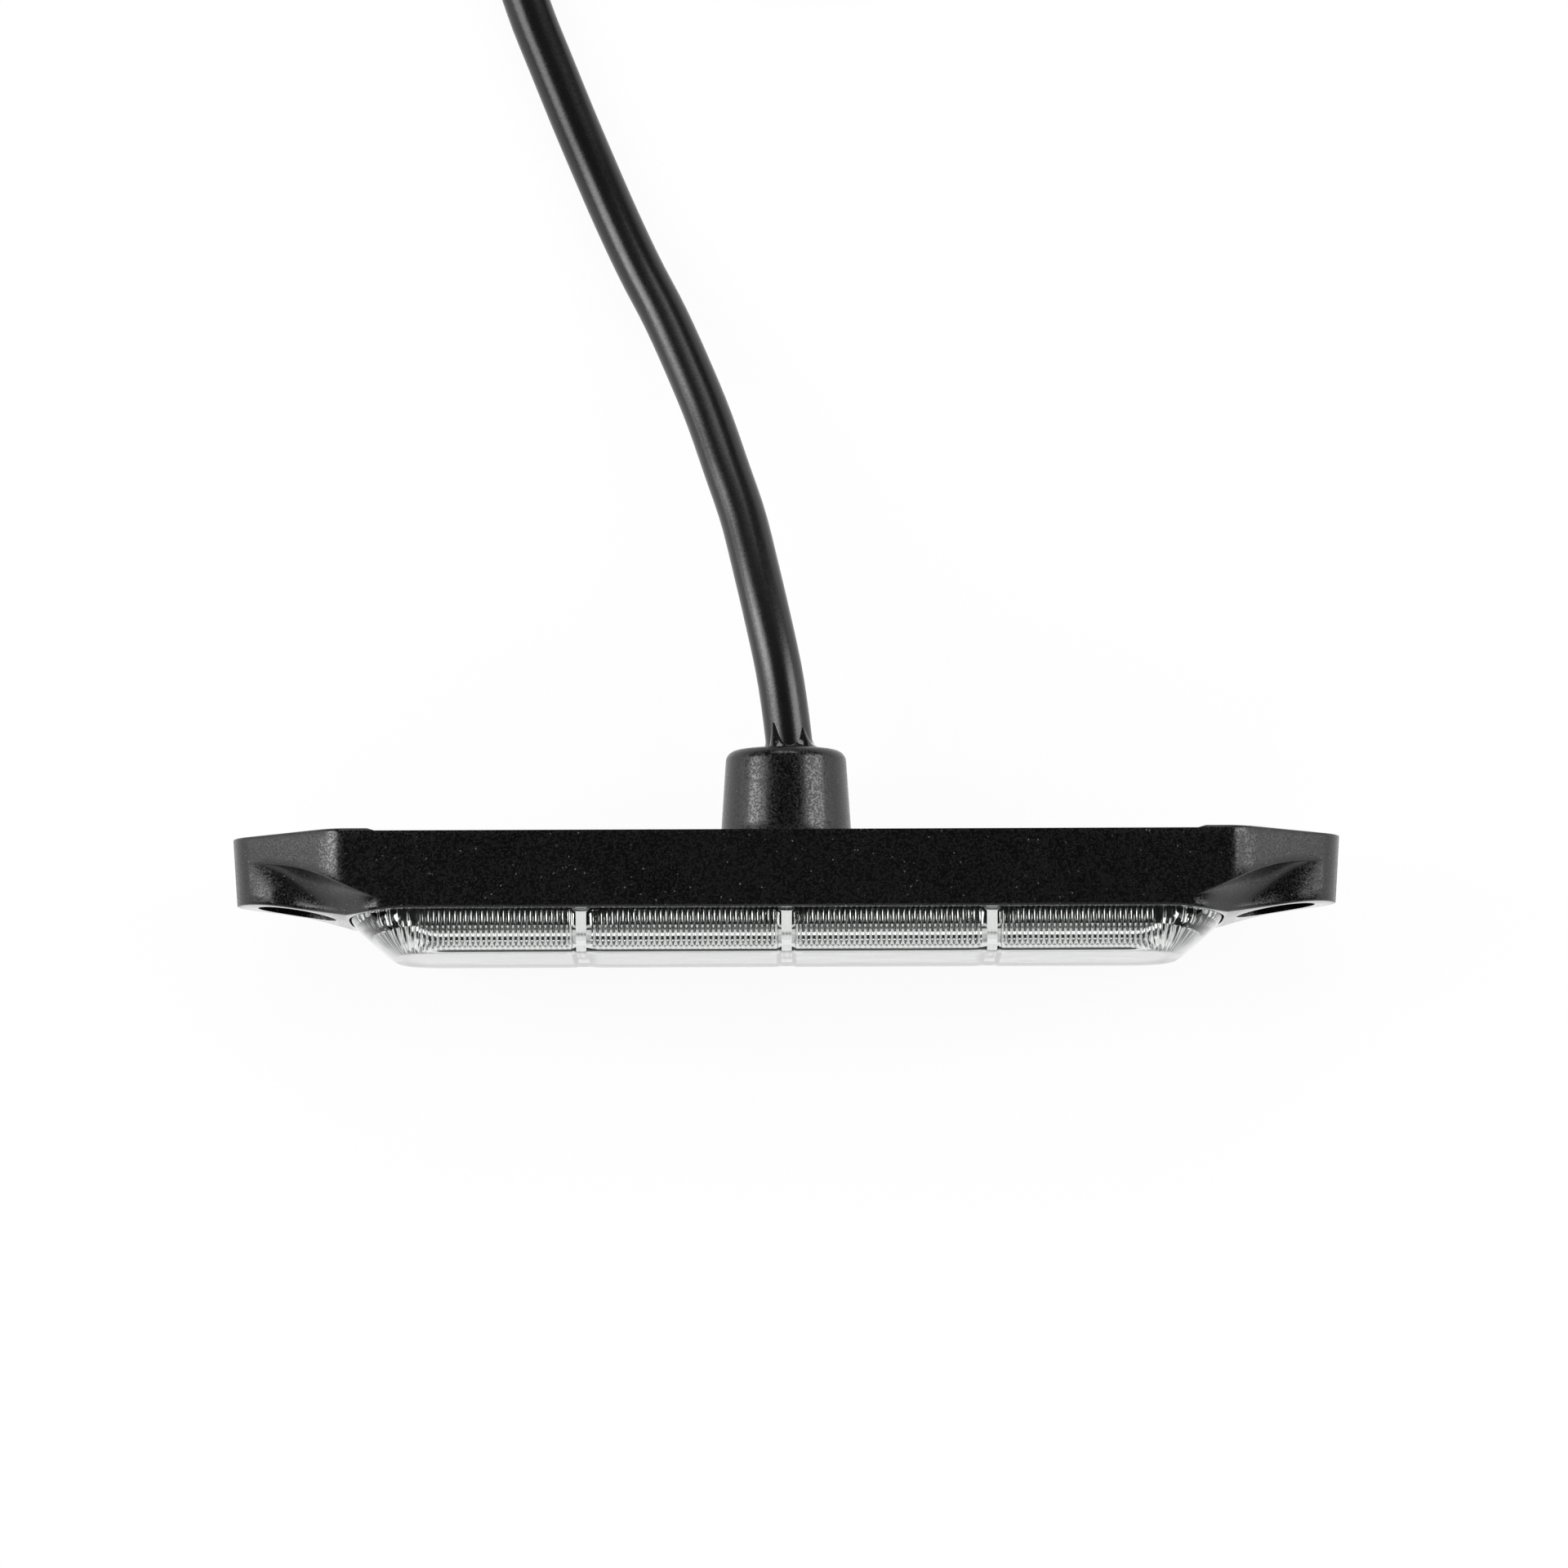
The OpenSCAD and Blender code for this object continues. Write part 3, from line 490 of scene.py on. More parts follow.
def coilPoints():
    points = []
    turned = 0.0
    last = coilPlan[-1][0]
    while True:
        for (a0, r0, z0), (a1, r1, z1) in zip(coilPlan, coilPlan[1:]):
            if a0 <= turned <= a1:
                t = ease((turned - a0) / (a1 - a0))
                break
        a = math.radians(turned)
        r = lerp(r0, r1, t)
        points.append((coilMiddle[0] - r * math.cos(a), coilMiddle[1] + r * math.sin(a), lerp(z0, z1, t)))
        if turned >= last:
            return points
        turned = min(turned + cableSize["coilStep"], last)


def smoothLine(points, step):
    # A smooth line through the points, spaced evenly, and its length
    points = [Vector(p) for p in points]
    ends = [2 * points[0] - points[1]] + points + [2 * points[-1] - points[-2]]
    fine = [spline(*four, i / 8) for four in zip(ends, ends[1:], ends[2:], ends[3:]) for i in range(8)]
    fine.append(points[-1])
    lengths = [0.0]
    for a, b in zip(fine, fine[1:]):
        lengths.append(lengths[-1] + (b - a).length)
    steps = evenSteps(lengths, max(2, round(lengths[-1] / step)))
    return [fine[i].lerp(fine[i + 1], t) for i, t in steps], lengths[-1]


def setInputs(modifier, **values):
    for item in modifier.node_group.interface.items_tree:
        if item.item_type == "SOCKET" and item.in_out == "INPUT" and item.name in values:
            modifier[item.identifier] = values[item.name]


tubeInputs = {
    "Path": ("Geometry", None), "Radius": ("Float", 0.001), "Sides": ("Int", 16),
    "Material": ("Material", None),
}
tubeTree, tubeIn, tubeOut = newTree("roundTube", "Geometry", tubeInputs, {"Result": "Geometry"})
line = put(tubeTree, "GeometryNodeMeshToCurve", {"Mesh": tubeIn["Path"]})
ring = put(tubeTree, "GeometryNodeCurvePrimitiveCircle", {"Resolution": tubeIn["Sides"], "Radius": 1.0})
where = put(tubeTree, "GeometryNodeInputPosition")
named = put(
    tubeTree, "GeometryNodeStoreNamedAttribute",
    {"Geometry": ring.outputs["Curve"], "Name": "cross", "Value": where.outputs[0]},
    data_type="FLOAT_VECTOR", domain="POINT",
)
sized = put(tubeTree, "GeometryNodeTransform", {"Geometry": named.outputs["Geometry"]})
scaleBy = put(tubeTree, "ShaderNodeCombineXYZ", {0: tubeIn["Radius"], 1: tubeIn["Radius"], 2: 1.0})
tubeTree.links.new(scaleBy.outputs[0], sized.inputs["Scale"])
swept = put(
    tubeTree, "GeometryNodeCurveToMesh",
    {"Curve": line.outputs["Curve"], "Profile Curve": sized.outputs["Geometry"], "Fill Caps": True},
)
real = put(tubeTree, "GeometryNodeRealizeInstances", {"Geometry": swept.outputs["Mesh"]})
coating = {"Geometry": real.outputs[0], "Material": tubeIn["Material"]}
coated = put(tubeTree, "GeometryNodeSetMaterial", coating)
tubeTree.links.new(coated.outputs[0], tubeOut["Result"])


def tubeAlong(name, points, radius, sides, coat):
    path = bpy.data.meshes.new(name + "Path")
    path.from_pydata([p * mm for p in points], [(i, i + 1) for i in range(len(points) - 1)], [])
    piece = addPiece(name + "Path", path)
    modifier = piece.modifiers.new("tube", "NODES")
    modifier.node_group = tubeTree
    setInputs(modifier, Radius=radius * mm, Sides=sides, Material=coat)
    return addPiece(name, evaluatedMesh(piece, name), sharp=lampSize["smoothAngle"])


cablePoints, cableTotal = smoothLine(leadRoute + coilPoints() + tailRoute, cableSize["step"])
print("cable length", round(cableTotal), "mm")
cableRadius, coreRadius = cableSize["diameter"] / 2, cableSize["coreDiameter"] / 2
cable = tubeAlong(
    "cableJacket", cablePoints, cableRadius, cableSize["sides"], material["cableJacket"]
)
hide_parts("cable_lead", "cable_coil", "cable_tail")
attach(cable, "root")

# Each stripped core leaves the jacket in its own place and settles on the table
tailCoreSize = {
    "start": [(0, 1.35), (-1.28, 0.42), (-0.79, -1.09), (0.79, -1.09), (1.28, 0.42)],
    "spread": [0, 14, -16, 27, -30], "length": 26, "inside": 1.5, "settle": 1.6, "steps": 16, "sides": 16,
}
strandSize = {
    "count": 7, "length": 6, "radius": 0.125, "reach": 0.24, "turns": 0.9, "droop": 0.2, "steps": 14,
    "sides": 6,
}
upright = Vector((0, 0, 1))
tailEnd = Vector(tailRoute[-1])
tailHeading = (tailEnd - Vector(tailRoute[-2])).normalized()
tailSide = tailHeading.cross(upright).normalized()
tipWays, tailCores = [], []
for name, offset, spread in zip(coreColours, tailCoreSize["start"], tailCoreSize["spread"]):
    turn = math.radians(spread)
    start = tailEnd + tailSide * offset[0] + Vector((0, 0, offset[1]))
    way = Vector((tailHeading.x, tailHeading.y, 0)) * math.cos(turn) + tailSide * math.sin(turn)
    points, length = [start - tailHeading * tailCoreSize["inside"]], tailCoreSize["length"]
    for k in range(tailCoreSize["steps"] + 1):
        u = k / tailCoreSize["steps"]
        p = start + tailHeading * length * u * (1 - u) + way * length * u * u
        p.z = lerp(start.z, coreRadius, ease(u * tailCoreSize["settle"]))
        points.append(p)
    coat, sides = material["core" + name.capitalize()], tailCoreSize["sides"]
    core = tubeAlong("tail_" + name + "_core", points, coreRadius, sides, coat)
    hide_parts("tail_" + name)
    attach(core, "root")
    tailCores.append(core)
    along = (points[-1] - points[-2]).normalized()
    along.z = 0
    tipWays.append((points[-1], along.normalized()))

# Tinned copper: strands twisted round a straight one, a bundle for each core
strandTips, thin, sides = [], strandSize["radius"], strandSize["sides"]
for start, along in tipWays:
    side = along.cross(upright)
    for k in range(strandSize["count"]):
        strand = []
        for j in range(strandSize["steps"] + 1):
            u = j / strandSize["steps"]
            turn = 2 * math.pi * (k / (strandSize["count"] - 1) + strandSize["turns"] * u)
            reach = 0 if k == strandSize["count"] - 1 else strandSize["reach"]
            strand.append(
                start + along * strandSize["length"] * u
                + (side * math.cos(turn) + upright * math.sin(turn)) * reach
                - Vector((0, 0, strandSize["droop"] * ease(u)))
            )
        strandTips.append(tubeAlong("strand", strand, thin, sides, material["solder"]))
tips = joinPieces("tinnedStrands", strandTips)
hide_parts("tinned_tips")
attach(tips, "root")


# Twist tie: a flat band round the bundle, its ends twisted together on top
print("tie")
tieSize = {
    "bundle": 33, "width": 4.0, "thickness": 0.5, "turn": 168, "gap": 0.25, "low": 0.5, "twist": 9.0,
    "wire": 0.42, "knotIn": 2, "crossed": 0.72, "turns": 1.3, "flare": 2.2, "steps": 25,
}
inner, middle, outer = (tieSize["bundle"] + k * cableSize["diameter"] for k in (-1.5, 0.5, 1.5))
gap, low, thick = tieSize["gap"], tieSize["low"], tieSize["thickness"]
mid, top = low + cableSize["diameter"] + gap, low + 2 * cableSize["diameter"] + gap
outline = [
    (inner - gap, low, 1.8), (outer + gap, low, 2.4), (outer + gap, mid, 2.4),
    (middle + gap + 1.6, mid + 0.6, 0.6), (middle + gap, top, 2.4), (inner - gap, top, 2.4),
]


def roundedLoop(corners, steps=7):
    # corners are (x, y, radius)
    loop = []
    for i, (x, y, r) in enumerate(corners):
        here = Vector((x, y))
        before = (Vector(corners[i - 1][:2]) - here).normalized()
        after = (Vector(corners[(i + 1) % len(corners)][:2]) - here).normalized()
        half = math.acos(clamp(before.dot(after), -1, 1)) / 2
        reach = r / math.tan(half)
        centre = here + (before + after).normalized() * (r / math.sin(half))
        first, last = here + before * reach - centre, here + after * reach - centre
        angle = first.angle_signed(last)
        for k in range(steps + 1):
            turn = -angle * k / steps
            loop.append(centre + Vector((
                first.x * math.cos(turn) - first.y * math.sin(turn),
                first.x * math.sin(turn) + first.y * math.cos(turn),
            )))
    return loop


def bandRings(loop, normals, width, thickness):
    # A flat band with a rounded edge, wire-cored down the middle
    profile = [
        (-0.5, 0.0), (-0.46, 0.36), (-0.2, 0.4), (-0.09, 0.62), (0.0, 0.75), (0.09, 0.62), (0.2, 0.4),
        (0.46, 0.36), (0.5, 0.0), (0.46, -0.36), (0.2, -0.4), (0, -0.45), (-0.2, -0.4), (-0.46, -0.36),
    ]
    return [[(p + n * (h * thickness), w * width) for w, h in profile] for p, n in zip(loop, normals)]


loop = roundedLoop(outline)
normals = []
for i, p in enumerate(loop):
    direction = (loop[(i + 1) % len(loop)] - loop[i - 1]).normalized()
    normals.append(Vector((direction.y, -direction.x)))
turn = math.radians(tieSize["turn"])
across = Vector((math.cos(turn), math.sin(turn), 0))
around = Vector((-math.sin(turn), math.cos(turn), 0))
centre = Vector((*coilMiddle, 0))
rings = []
outside = [p + n * thick * 0.45 for p, n in zip(loop, normals)]
for ring in bandRings(outside, normals, tieSize["width"], thick):
    lifted = [(centre + across * q.x + Vector((0, 0, max(q.y, 0.0))) + around * w) * mm for q, w in ring]
    rings.append(lifted)
count = len(rings[0])
tieFaces = ringFaces(len(rings), count)
last = (len(rings) - 1) * count
tieFaces += [(last + s, s, (s + 1) % count, last + (s + 1) % count) for s in range(count)]
bandMesh = meshOf("tieBand", [p for ring in rings for p in ring], tieFaces)
band = addPiece("tieBand", bandMesh, material["tiePlastic"], sharp=lampSize["smoothAngle"])
# The two ends cross and twist round each other, and lie down on the bundle
tails = []
crossed, wire = tieSize["crossed"], tieSize["wire"]
knot = centre + across * (tieSize["bundle"] - tieSize["knotIn"]) + Vector((0, 0, top + thick + 0.5))
for side in (0, math.pi):
    line = []
    for k in range(tieSize["steps"] + 1):
        u = k / tieSize["steps"]
        spin = side + 2 * tieSize["turns"] * math.pi * min(u, crossed) / crossed
        flare = wire + (tieSize["flare"] * ease((u - crossed) / (1 - crossed)) if u > crossed else 0)
        line.append(
            knot + across * (tieSize["twist"] * (u - 0.35)) + around * flare * math.cos(spin)
            + Vector((0, 0, wire * math.sin(spin) + 0.2))
        )
    tails.append(tubeAlong("tieEnd", line, wire, 10, material["tiePlastic"]))
tie = joinPieces("twistTie", [band] + tails)
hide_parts("cable_tie")
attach(tie, "root")


# Housing: one casting, lofted along x through rounded sections
print("housing")
housingSize = {
    "sideHalf": 52.8, "cornerSoft": 1.6, "floorTop": 2.6, "relief": 0.3, "padLength": 16.3, "round": 0.35,
    "tipRadius": 6, "flangeTip": 3.1, "noseTip": 7.9, "noseRise": 0.5, "riseLength": 7.5,
    "noseLength": 16.5, "rimDrop": 0.8, "edgeRound": 0.32,
    "ridgeTip": 5.8, "ridgeSlope": 0.335, "scoopLength": 20, "scoopSweep": 9.7, "tipDraft": 0.5,
    "holeSpacing": 115, "hole": 4.5, "recess": 9.2, "recessFloor": 3.4, "ledge": 7.3,
    "bossRoot": 15.4, "bossEnd": 14.2, "bossHeight": 10.3, "bossRound": 1.3, "bossBore": 8.4,
}
sideHalf, tipRadius = housingSize["sideHalf"], housingSize["tipRadius"]
tipX = halfLength - tipRadius
scoopStart = halfLength - housingSize["scoopLength"]
facetTurn = math.atan2(halfWidth, sideHalf - tipX)
facetTurn -= math.acos(tipRadius / math.hypot(sideHalf - tipX, halfWidth))
tangent = (tipX + tipRadius * math.cos(facetTurn), tipRadius * math.sin(facetTurn))
lensSize = {
    "half": 51.3, "halfWidth": 12.6, "bow": 6.3, "power": 2.9, "endSlope": 5.2, "sideDraft": 1.9,
    "front": 14.3, "wall": 1.4, "frontWall": 1.02, "skirt": 1.4, "clearance": 0.15, "pitch": 23.9,
    "rib": 1.4, "grooveWidth": 2.2, "grooveDepth": 0.3, "grooveLevel": 0.4, "flutePitch": 0.625,
    "fluteDepth": 0.26, "fanDepth": 0.45, "fluteEnd": (0.88, 0.09), "flutesPerPillow": 34,
    "flutesPerEnd": 14, "stepsPerFlute": 6, "columns": (0.11, 0.9), "skinFan": 36, "skinRows": 22,
    "skinSteps": 10, "cavityRows": 14, "cavitySteps": 8,
}


def tipHalf(x):
    return math.sqrt(max(tipRadius ** 2 - (x - tipX) ** 2, 0.8 ** 2))


def softStart(past):
    # 0 before a corner and the distance past it after, with a short curve between
    soft = housingSize["cornerSoft"]
    return 0 if past <= -soft else (past + soft) ** 2 / (4 * soft) if past < soft else past


def flangeHalf(x):
    slope = (tangent[1] - halfWidth) / (tangent[0] - sideHalf)
    return halfWidth + slope * softStart(x - sideHalf) if x < tangent[0] else tipHalf(x)


def noseHalf(x):
    if x >= tipX:
        return tipHalf(x)
    start = halfLength - housingSize["noseLength"]
    return lerp(tipRadius, halfWidth, (1 - clamp(softStart(x - start) / (tipX - start))) ** 2)


def noseHeight(x):
    # The rim climbs a little towards the lens end, and the nose falls from there to its tip
    top = rim + housingSize["noseRise"]
    if x < lensSize["half"]:
        return lerp(rim, top, ease((x - lensSize["half"]) / housingSize["riseLength"] + 1))
    fall = clamp((halfLength - x) / (halfLength - lensSize["half"]))
    return lerp(housingSize["noseTip"], top, fall ** 1.6)


def ridgeHeight(x):
    line = housingSize["ridgeTip"] + housingSize["ridgeSlope"] * (halfLength - x)
    return min(line, noseHeight(x) - housingSize["round"] - 0.15)


def flangeHeight(x):
    tip, top = housingSize["flangeTip"], rim - housingSize["rimDrop"]
    return tip + (top - tip) * math.exp(-(((x - scoopStart) / housingSize["scoopSweep"]) ** 2))


def housingRing(x):
    # One half of the section: foot, side wall, hollow flank and nose
    w = flangeHalf(abs(x))
    n = min(noseHalf(abs(x)), w)
    low, high, top = flangeHeight(abs(x)), ridgeHeight(abs(x)), noseHeight(abs(x))
    r, edge = housingSize["round"], housingSize["edgeRound"]
    soft = min(edge, 0.4 * (w - n))
    half = arc((w - r, r), (r, r), -90, 0, 4)
    half += [(w, lerp(r, low - edge, k / 5)) for k in range(1, 5)]
    half += arc((w - soft, low - edge), (soft, edge), 0, 90, 4)
    for k in range(1, 25):
        a = math.radians(90 * k / 24)
        half.append((w - soft - (w - soft - n) * math.sin(a), high - (high - low) * math.cos(a)))
    half += arc((n - r, top - r), (r, r), 0, 90, 4)
    grow = clamp((abs(x) - sideHalf) / (halfLength - sideHalf))
    draft = math.copysign(housingSize["tipDraft"] * grow / housingSize["noseTip"], x)
    whole = half + [(-y, z) for y, z in reversed(half)]
    return [toScene(x - draft * z, y, z) for y, z in whole]


stations = [4.0 * k for k in range(11)]
stations += [lerp(scoopStart, sideHalf, k / 26) for k in range(26)]
stations += [lerp(sideHalf, tipX, k / 22) for k in range(22)]
stations += [tipX + tipRadius * math.sin(math.radians(a)) for a in range(0, 81, 4)]
stations.append(halfLength)
stations = sorted({round(s * x, 5) for x in stations for s in (-1, 1)})
body = loftMesh("housingBlock", [housingRing(x) for x in stations])


def bowedPoint(reach, half, bow, turn):
    # A point on a squarish bowed end, at a turn in degrees from its tip
    along, across = math.cos(math.radians(turn)), math.sin(math.radians(turn))
    power = lensSize["power"]
    r = (abs(along) ** power + abs(across) ** power) ** (-1 / power)
    return reach - bow + bow * r * along, half * r * across


def lensOutline(inset, bow=lensSize["bow"], steps=60):
    reach, half, bow = lensSize["half"] - inset, lensSize["halfWidth"] - inset, bow - inset / 2
    end = [bowedPoint(reach, half, bow, lerp(-90, 90, k / steps)) for k in range(steps + 1)]
    return end + [(-x, -y) for x, y in end]


reach, reliefDepth = halfLength - housingSize["padLength"], housingSize["relief"]
reliefLine = [
    (-reach, -1), (reach, -1), (reach, 0), (reach - 0.9, reliefDepth), (0.9 - reach, reliefDepth),
    (-reach, 0),
]
sides = (-halfWidth - 1, halfWidth + 1)
relief = loftMesh("relief", [[toScene(x, y, z) for x, z in reliefLine] for y in sides])
root, end, tall, soft = (housingSize["boss" + key] for key in ("Root", "End", "Height", "Round"))
bossLine = [(root / 2 + 0.3, 0.4), (root / 2 + 0.3, reliefDepth + 0.02), (root / 2 + 0.09, 0.18)]
bossLine.append((root / 2, -0.05))
bossLine += [(lerp(root, end, k / 6) / 2, -(tall - soft) * k / 6) for k in range(1, 6)]
bossLine += arc((end / 2 - soft, -tall + soft), (soft, soft), 0, -90, 8)
boss = lathe("boss", bossLine + [(1.0, -tall)], steps=96)


def drilled(name, width, low, high, place=(0, 0), steps=64):
    return ("DIFFERENCE", lathe(name, [(width / 2, low), (width / 2, high)], place, steps))


floorTop = housingSize["floorTop"]
cuts = [
    ("DIFFERENCE", relief),
    ("UNION", boss),
    ("DIFFERENCE", prism("ledge", lensOutline(0), housingSize["ledge"], rim + 1)),
    ("DIFFERENCE", prism("pocket", lensOutline(lensSize["wall"] + 0.1), floorTop, rim + 1)),
    drilled("bore", housingSize["bossBore"], -tall - 1, floorTop + 1),
]
for side in (-1, 1):
    place = (side * housingSize["holeSpacing"] / 2, 0)
    cuts.append(drilled("hole", housingSize["hole"], -1, rim + 1, place, 48))
    cuts.append(drilled("recess", housingSize["recess"], housingSize["recessFloor"], rim + 1, place, 72))
casting = combined("housingCasting", body, *cuts)
housing = addPiece("housingCasting", casting, material["housingCoat"], 32)
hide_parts("housing")
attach(housing, "root")


# Lens: a smooth outer skin with a groove between pillows, and a fluted cavity behind each pillow
print("lens")
shoulder = [
    (0, 0, 0), (0.12, 0.03, 0.04), (0.25, 0.14, 0.09), (0.45, 0.35, 0.18), (0.66, 0.58, 0.29),
    (0.79, 0.72, 0.42), (0.905, 0.85, 0.6), (0.98, 0.95, 0.82), (1, 1, 1),
]
pillowCentres = [(i - 1.5) * lensSize["pitch"] for i in range(4)]
fanStart = pillowCentres[3] + 11 * lensSize["flutePitch"]


def shoulderAt(t):
    # The shoulder's three shares at t from 0 at the rim to 1 at the front, on a smooth line
    t = clamp(t) * (len(shoulder) - 1)
    i = min(int(t), len(shoulder) - 2)
    four = [Vector(shoulder[clamp(k, 0, len(shoulder) - 1)]) for k in (i - 1, i, i + 1, i + 2)]
    return spline(*four, t - i)


def sideY(x, reach, half, bow):
    over, power = abs(x) - (reach - bow), lensSize["power"]
    return half if over <= 0 else half * max(1 - (over / bow) ** power, 0) ** (1 / power)


def fanLine(reach, half, bow, count):
    # Evenly spaced points from where the flutes start to fan out to the tip of the bowed end
    straight = reach - bow
    line = [bowedPoint(reach, half, bow, a) for a in range(90, -1, -2)]
    if straight > fanStart:
        line = [(lerp(fanStart, straight, k / 12), half) for k in range(12)] + line
    else:
        line = [(fanStart, sideY(fanStart, reach, half, bow))] + [p for p in line if p[0] > fanStart + 0.05]
    lengths = [0.0]
    for a, b in zip(line, line[1:]):
        lengths.append(lengths[-1] + math.hypot(b[0] - a[0], b[1] - a[1]))
    spaced = [between(line[i], line[i + 1], t) for i, t in evenSteps(lengths, count)]
    spaced[-1] = (reach, 0.0)
    return spaced


def toGroove(x):
    return min(abs(x - g) for g in (-lensSize["pitch"], 0, lensSize["pitch"]))


def groove(x):
    width = lensSize["grooveWidth"]
    return 0.0 if toGroove(x) > width / 2 else math.sqrt(math.cos(math.pi * toGroove(x) / width))


# Columns of the outer skin: along the sides by x, closer together at the grooves
def outerColumns():
    fine, coarse = lensSize["columns"]
    xs = [0.0]
    while xs[-1] < fanStart - 0.05:
        step = fine if toGroove(xs[-1] + 0.05) < lensSize["grooveWidth"] / 2 + 0.2 else coarse
        xs.append(min(xs[-1] + step, fanStart))
    return xs


def columnsFor(sideXs, fanCount, both=True):
    # Columns along the sides, and round each end by their share of the fan
    right = [("side", x, 0) for x in sideXs] + [("fan", 1, k) for k in range(1, fanCount + 1)]
    if not both:
        return right
    left = [("fan", -1, k) for k in range(fanCount, 0, -1)]
    left += [("side", -x, 0) for x in reversed(sideXs) if x > 0]
    return left + right


def wholeSection(right, steps):
    # One half of a section, the way across the front, and the other half
    x, y, z = right[-1]
    across = [(x, lerp(y, -y, i / steps), z) for i in range(1, steps)]
    return right + across + [(x, -y, z) for x, y, z in reversed(right)]


def skinRings(columns, fanCount, rows):
    # rows: (reach, half width, bow, height, groove share); gives one section for each column
    depth, level = lensSize["grooveDepth"], lensSize["grooveLevel"]
    fans = [fanLine(*row[:3], fanCount) for row in rows]
    rings = []
    for how, where, k in columns:
        right = []
        for j, (reach, half, bow, z, share) in enumerate(rows):
            if how == "side":
                x, y = where, sideY(where, reach, half, bow) - share * depth * groove(where)
            else:
                x, y = where * fans[j][k][0], fans[j][k][1]
            sunk = depth * groove(x) * share * level if j > len(rows) - 4 else 0
            right.append((x, y, z - sunk))
        rings.append(wholeSection(right, lensSize["skinSteps"]))
    return rings


def lensReach(share):
    return lensSize["half"] - lensSize["clearance"] - lensSize["endSlope"] * share


def lensHalf(share):
    return lensSize["halfWidth"] - lensSize["clearance"] - lensSize["sideDraft"] * share


outerRows = [(lensReach(0), lensHalf(0), lensSize["bow"], rim - lensSize["skirt"], 0)]
for k in range(lensSize["skinRows"] + 1):
    up, end, side = shoulderAt(k / lensSize["skinRows"])
    height = lerp(rim, lensSize["front"], up)
    outerRows.append((lensReach(end), lensHalf(side), lensSize["bow"], height, clamp(up / 0.05)))
skin = skinRings(columnsFor(outerColumns(), lensSize["skinFan"]), lensSize["skinFan"], outerRows)


def flute(u):
    # u counts flutes; a round ridge with a sharp valley on each side
    return 1 - (2 * (u - math.floor(u)) - 1) ** 2


def cavityRings(columns, fanCount, centre):
    # Sections of one cavity; a flute pushes the wall inwards, and ends in a round shoulder near the front
    wall, depth, flutes = lensSize["wall"], lensSize["fluteDepth"], lensSize["flutesPerPillow"]
    endAt, endOver = lensSize["fluteEnd"]
    plain, fades = [], []
    for k in range(lensSize["cavityRows"] + 1):
        up, end, side = shoulderAt(k / lensSize["cavityRows"])
        height = lerp(rim, lensSize["front"] - lensSize["frontWall"], up)
        plain.append((lensReach(end) - wall, lensHalf(side) - wall, lensSize["bow"] - wall / 2, height))
        fades.append(math.sqrt(max(0.0, 1 - clamp((up - endAt) / endOver) ** 2)))
    deep = [(r - depth, h - depth, b - depth / 2, z) for r, h, b, z in plain]
    fans = [(fanLine(*p[:3], fanCount), fanLine(*d[:3], fanCount)) for p, d in zip(plain, deep)]
    rings = []
    for how, where, k in columns:
        right = []
        for p, d, fade, (plainFan, deepFan) in zip(plain, deep, fades, fans):
            if how == "side":
                u = (where - centre) / lensSize["flutePitch"] + flutes / 2
                inside = 0 < u < flutes or abs(where) > abs(centre)
                amount = fade * (flute(u) if inside else 0)
                right.append((where, lerp(sideY(where, *p[:3]), sideY(where, *d[:3]), amount), p[3]))
            else:
                ridge = flute(k / fanCount * lensSize["flutesPerEnd"])
                x, y = between(plainFan[k], deepFan[k], fade * ridge * lensSize["fanDepth"] / depth)
                right.append((where * x, y, p[3]))
        rings.append(wholeSection(right, lensSize["cavitySteps"]))
    return rings


def pillowXs(centre, toFan):
    reach = (lensSize["pitch"] - lensSize["rib"]) / 2
    first = centre - lensSize["flutePitch"] * lensSize["flutesPerPillow"] / 2
    count = lensSize["flutesPerPillow"] * lensSize["stepsPerFlute"]
    xs = [first + k * lensSize["flutePitch"] / lensSize["stepsPerFlute"] for k in range(count + 1)]
    xs = [centre - reach, *xs, centre + reach]
    return [x for x in xs if x < fanStart + 0.01] if toFan else xs


lensPoints, lensFaces = [], []


def addRings(rings, capFirst, capLast):
    first, count = len(lensPoints), len(rings[0])
    lensPoints.extend(toScene(*p) for ring in rings for p in ring)
    lensFaces.extend(ringFaces(len(rings), count, False, first))
    if capFirst:
        lensFaces.append(tuple(first + s for s in range(count)))
    if capLast:
        lensFaces.append(tuple(first + (len(rings) - 1) * count + s for s in reversed(range(count))))
    # the open foot of the rings, in order round it
    return [first + i * count for i in range(len(rings))] + [
        first + i * count + count - 1 for i in reversed(range(len(rings)))
    ]


outerFoot = addRings(skin, False, False)
fanCount = lensSize["flutesPerEnd"] * lensSize["stepsPerFlute"]
holes = []
endColumns = columnsFor(pillowXs(pillowCentres[3], True), fanCount, False)
endRings = cavityRings(endColumns, fanCount, pillowCentres[3])
for i, centre in enumerate(pillowCentres):
    if i in (1, 2):
        rings = cavityRings([("side", x, 0) for x in pillowXs(centre, False)], fanCount, centre)
    elif i == 3:
        rings = endRings
    else:
        rings = [[(-x, y, z) for x, y, z in ring] for ring in reversed(endRings)]
    holes.append(addRings(rings, i > 0, i < 3))

# Skirt: its inner wall, its foot, and the flat ring round the four cavities
inner = lensOutline(lensSize["wall"] - 0.04)
innerStart = len(lensPoints)
for h in (rim - lensSize["skirt"], rim):
    lensPoints.extend(toScene(x, y, h) for x, y in inner)
lensFaces.extend(ringFaces(2, len(inner), True, innerStart))


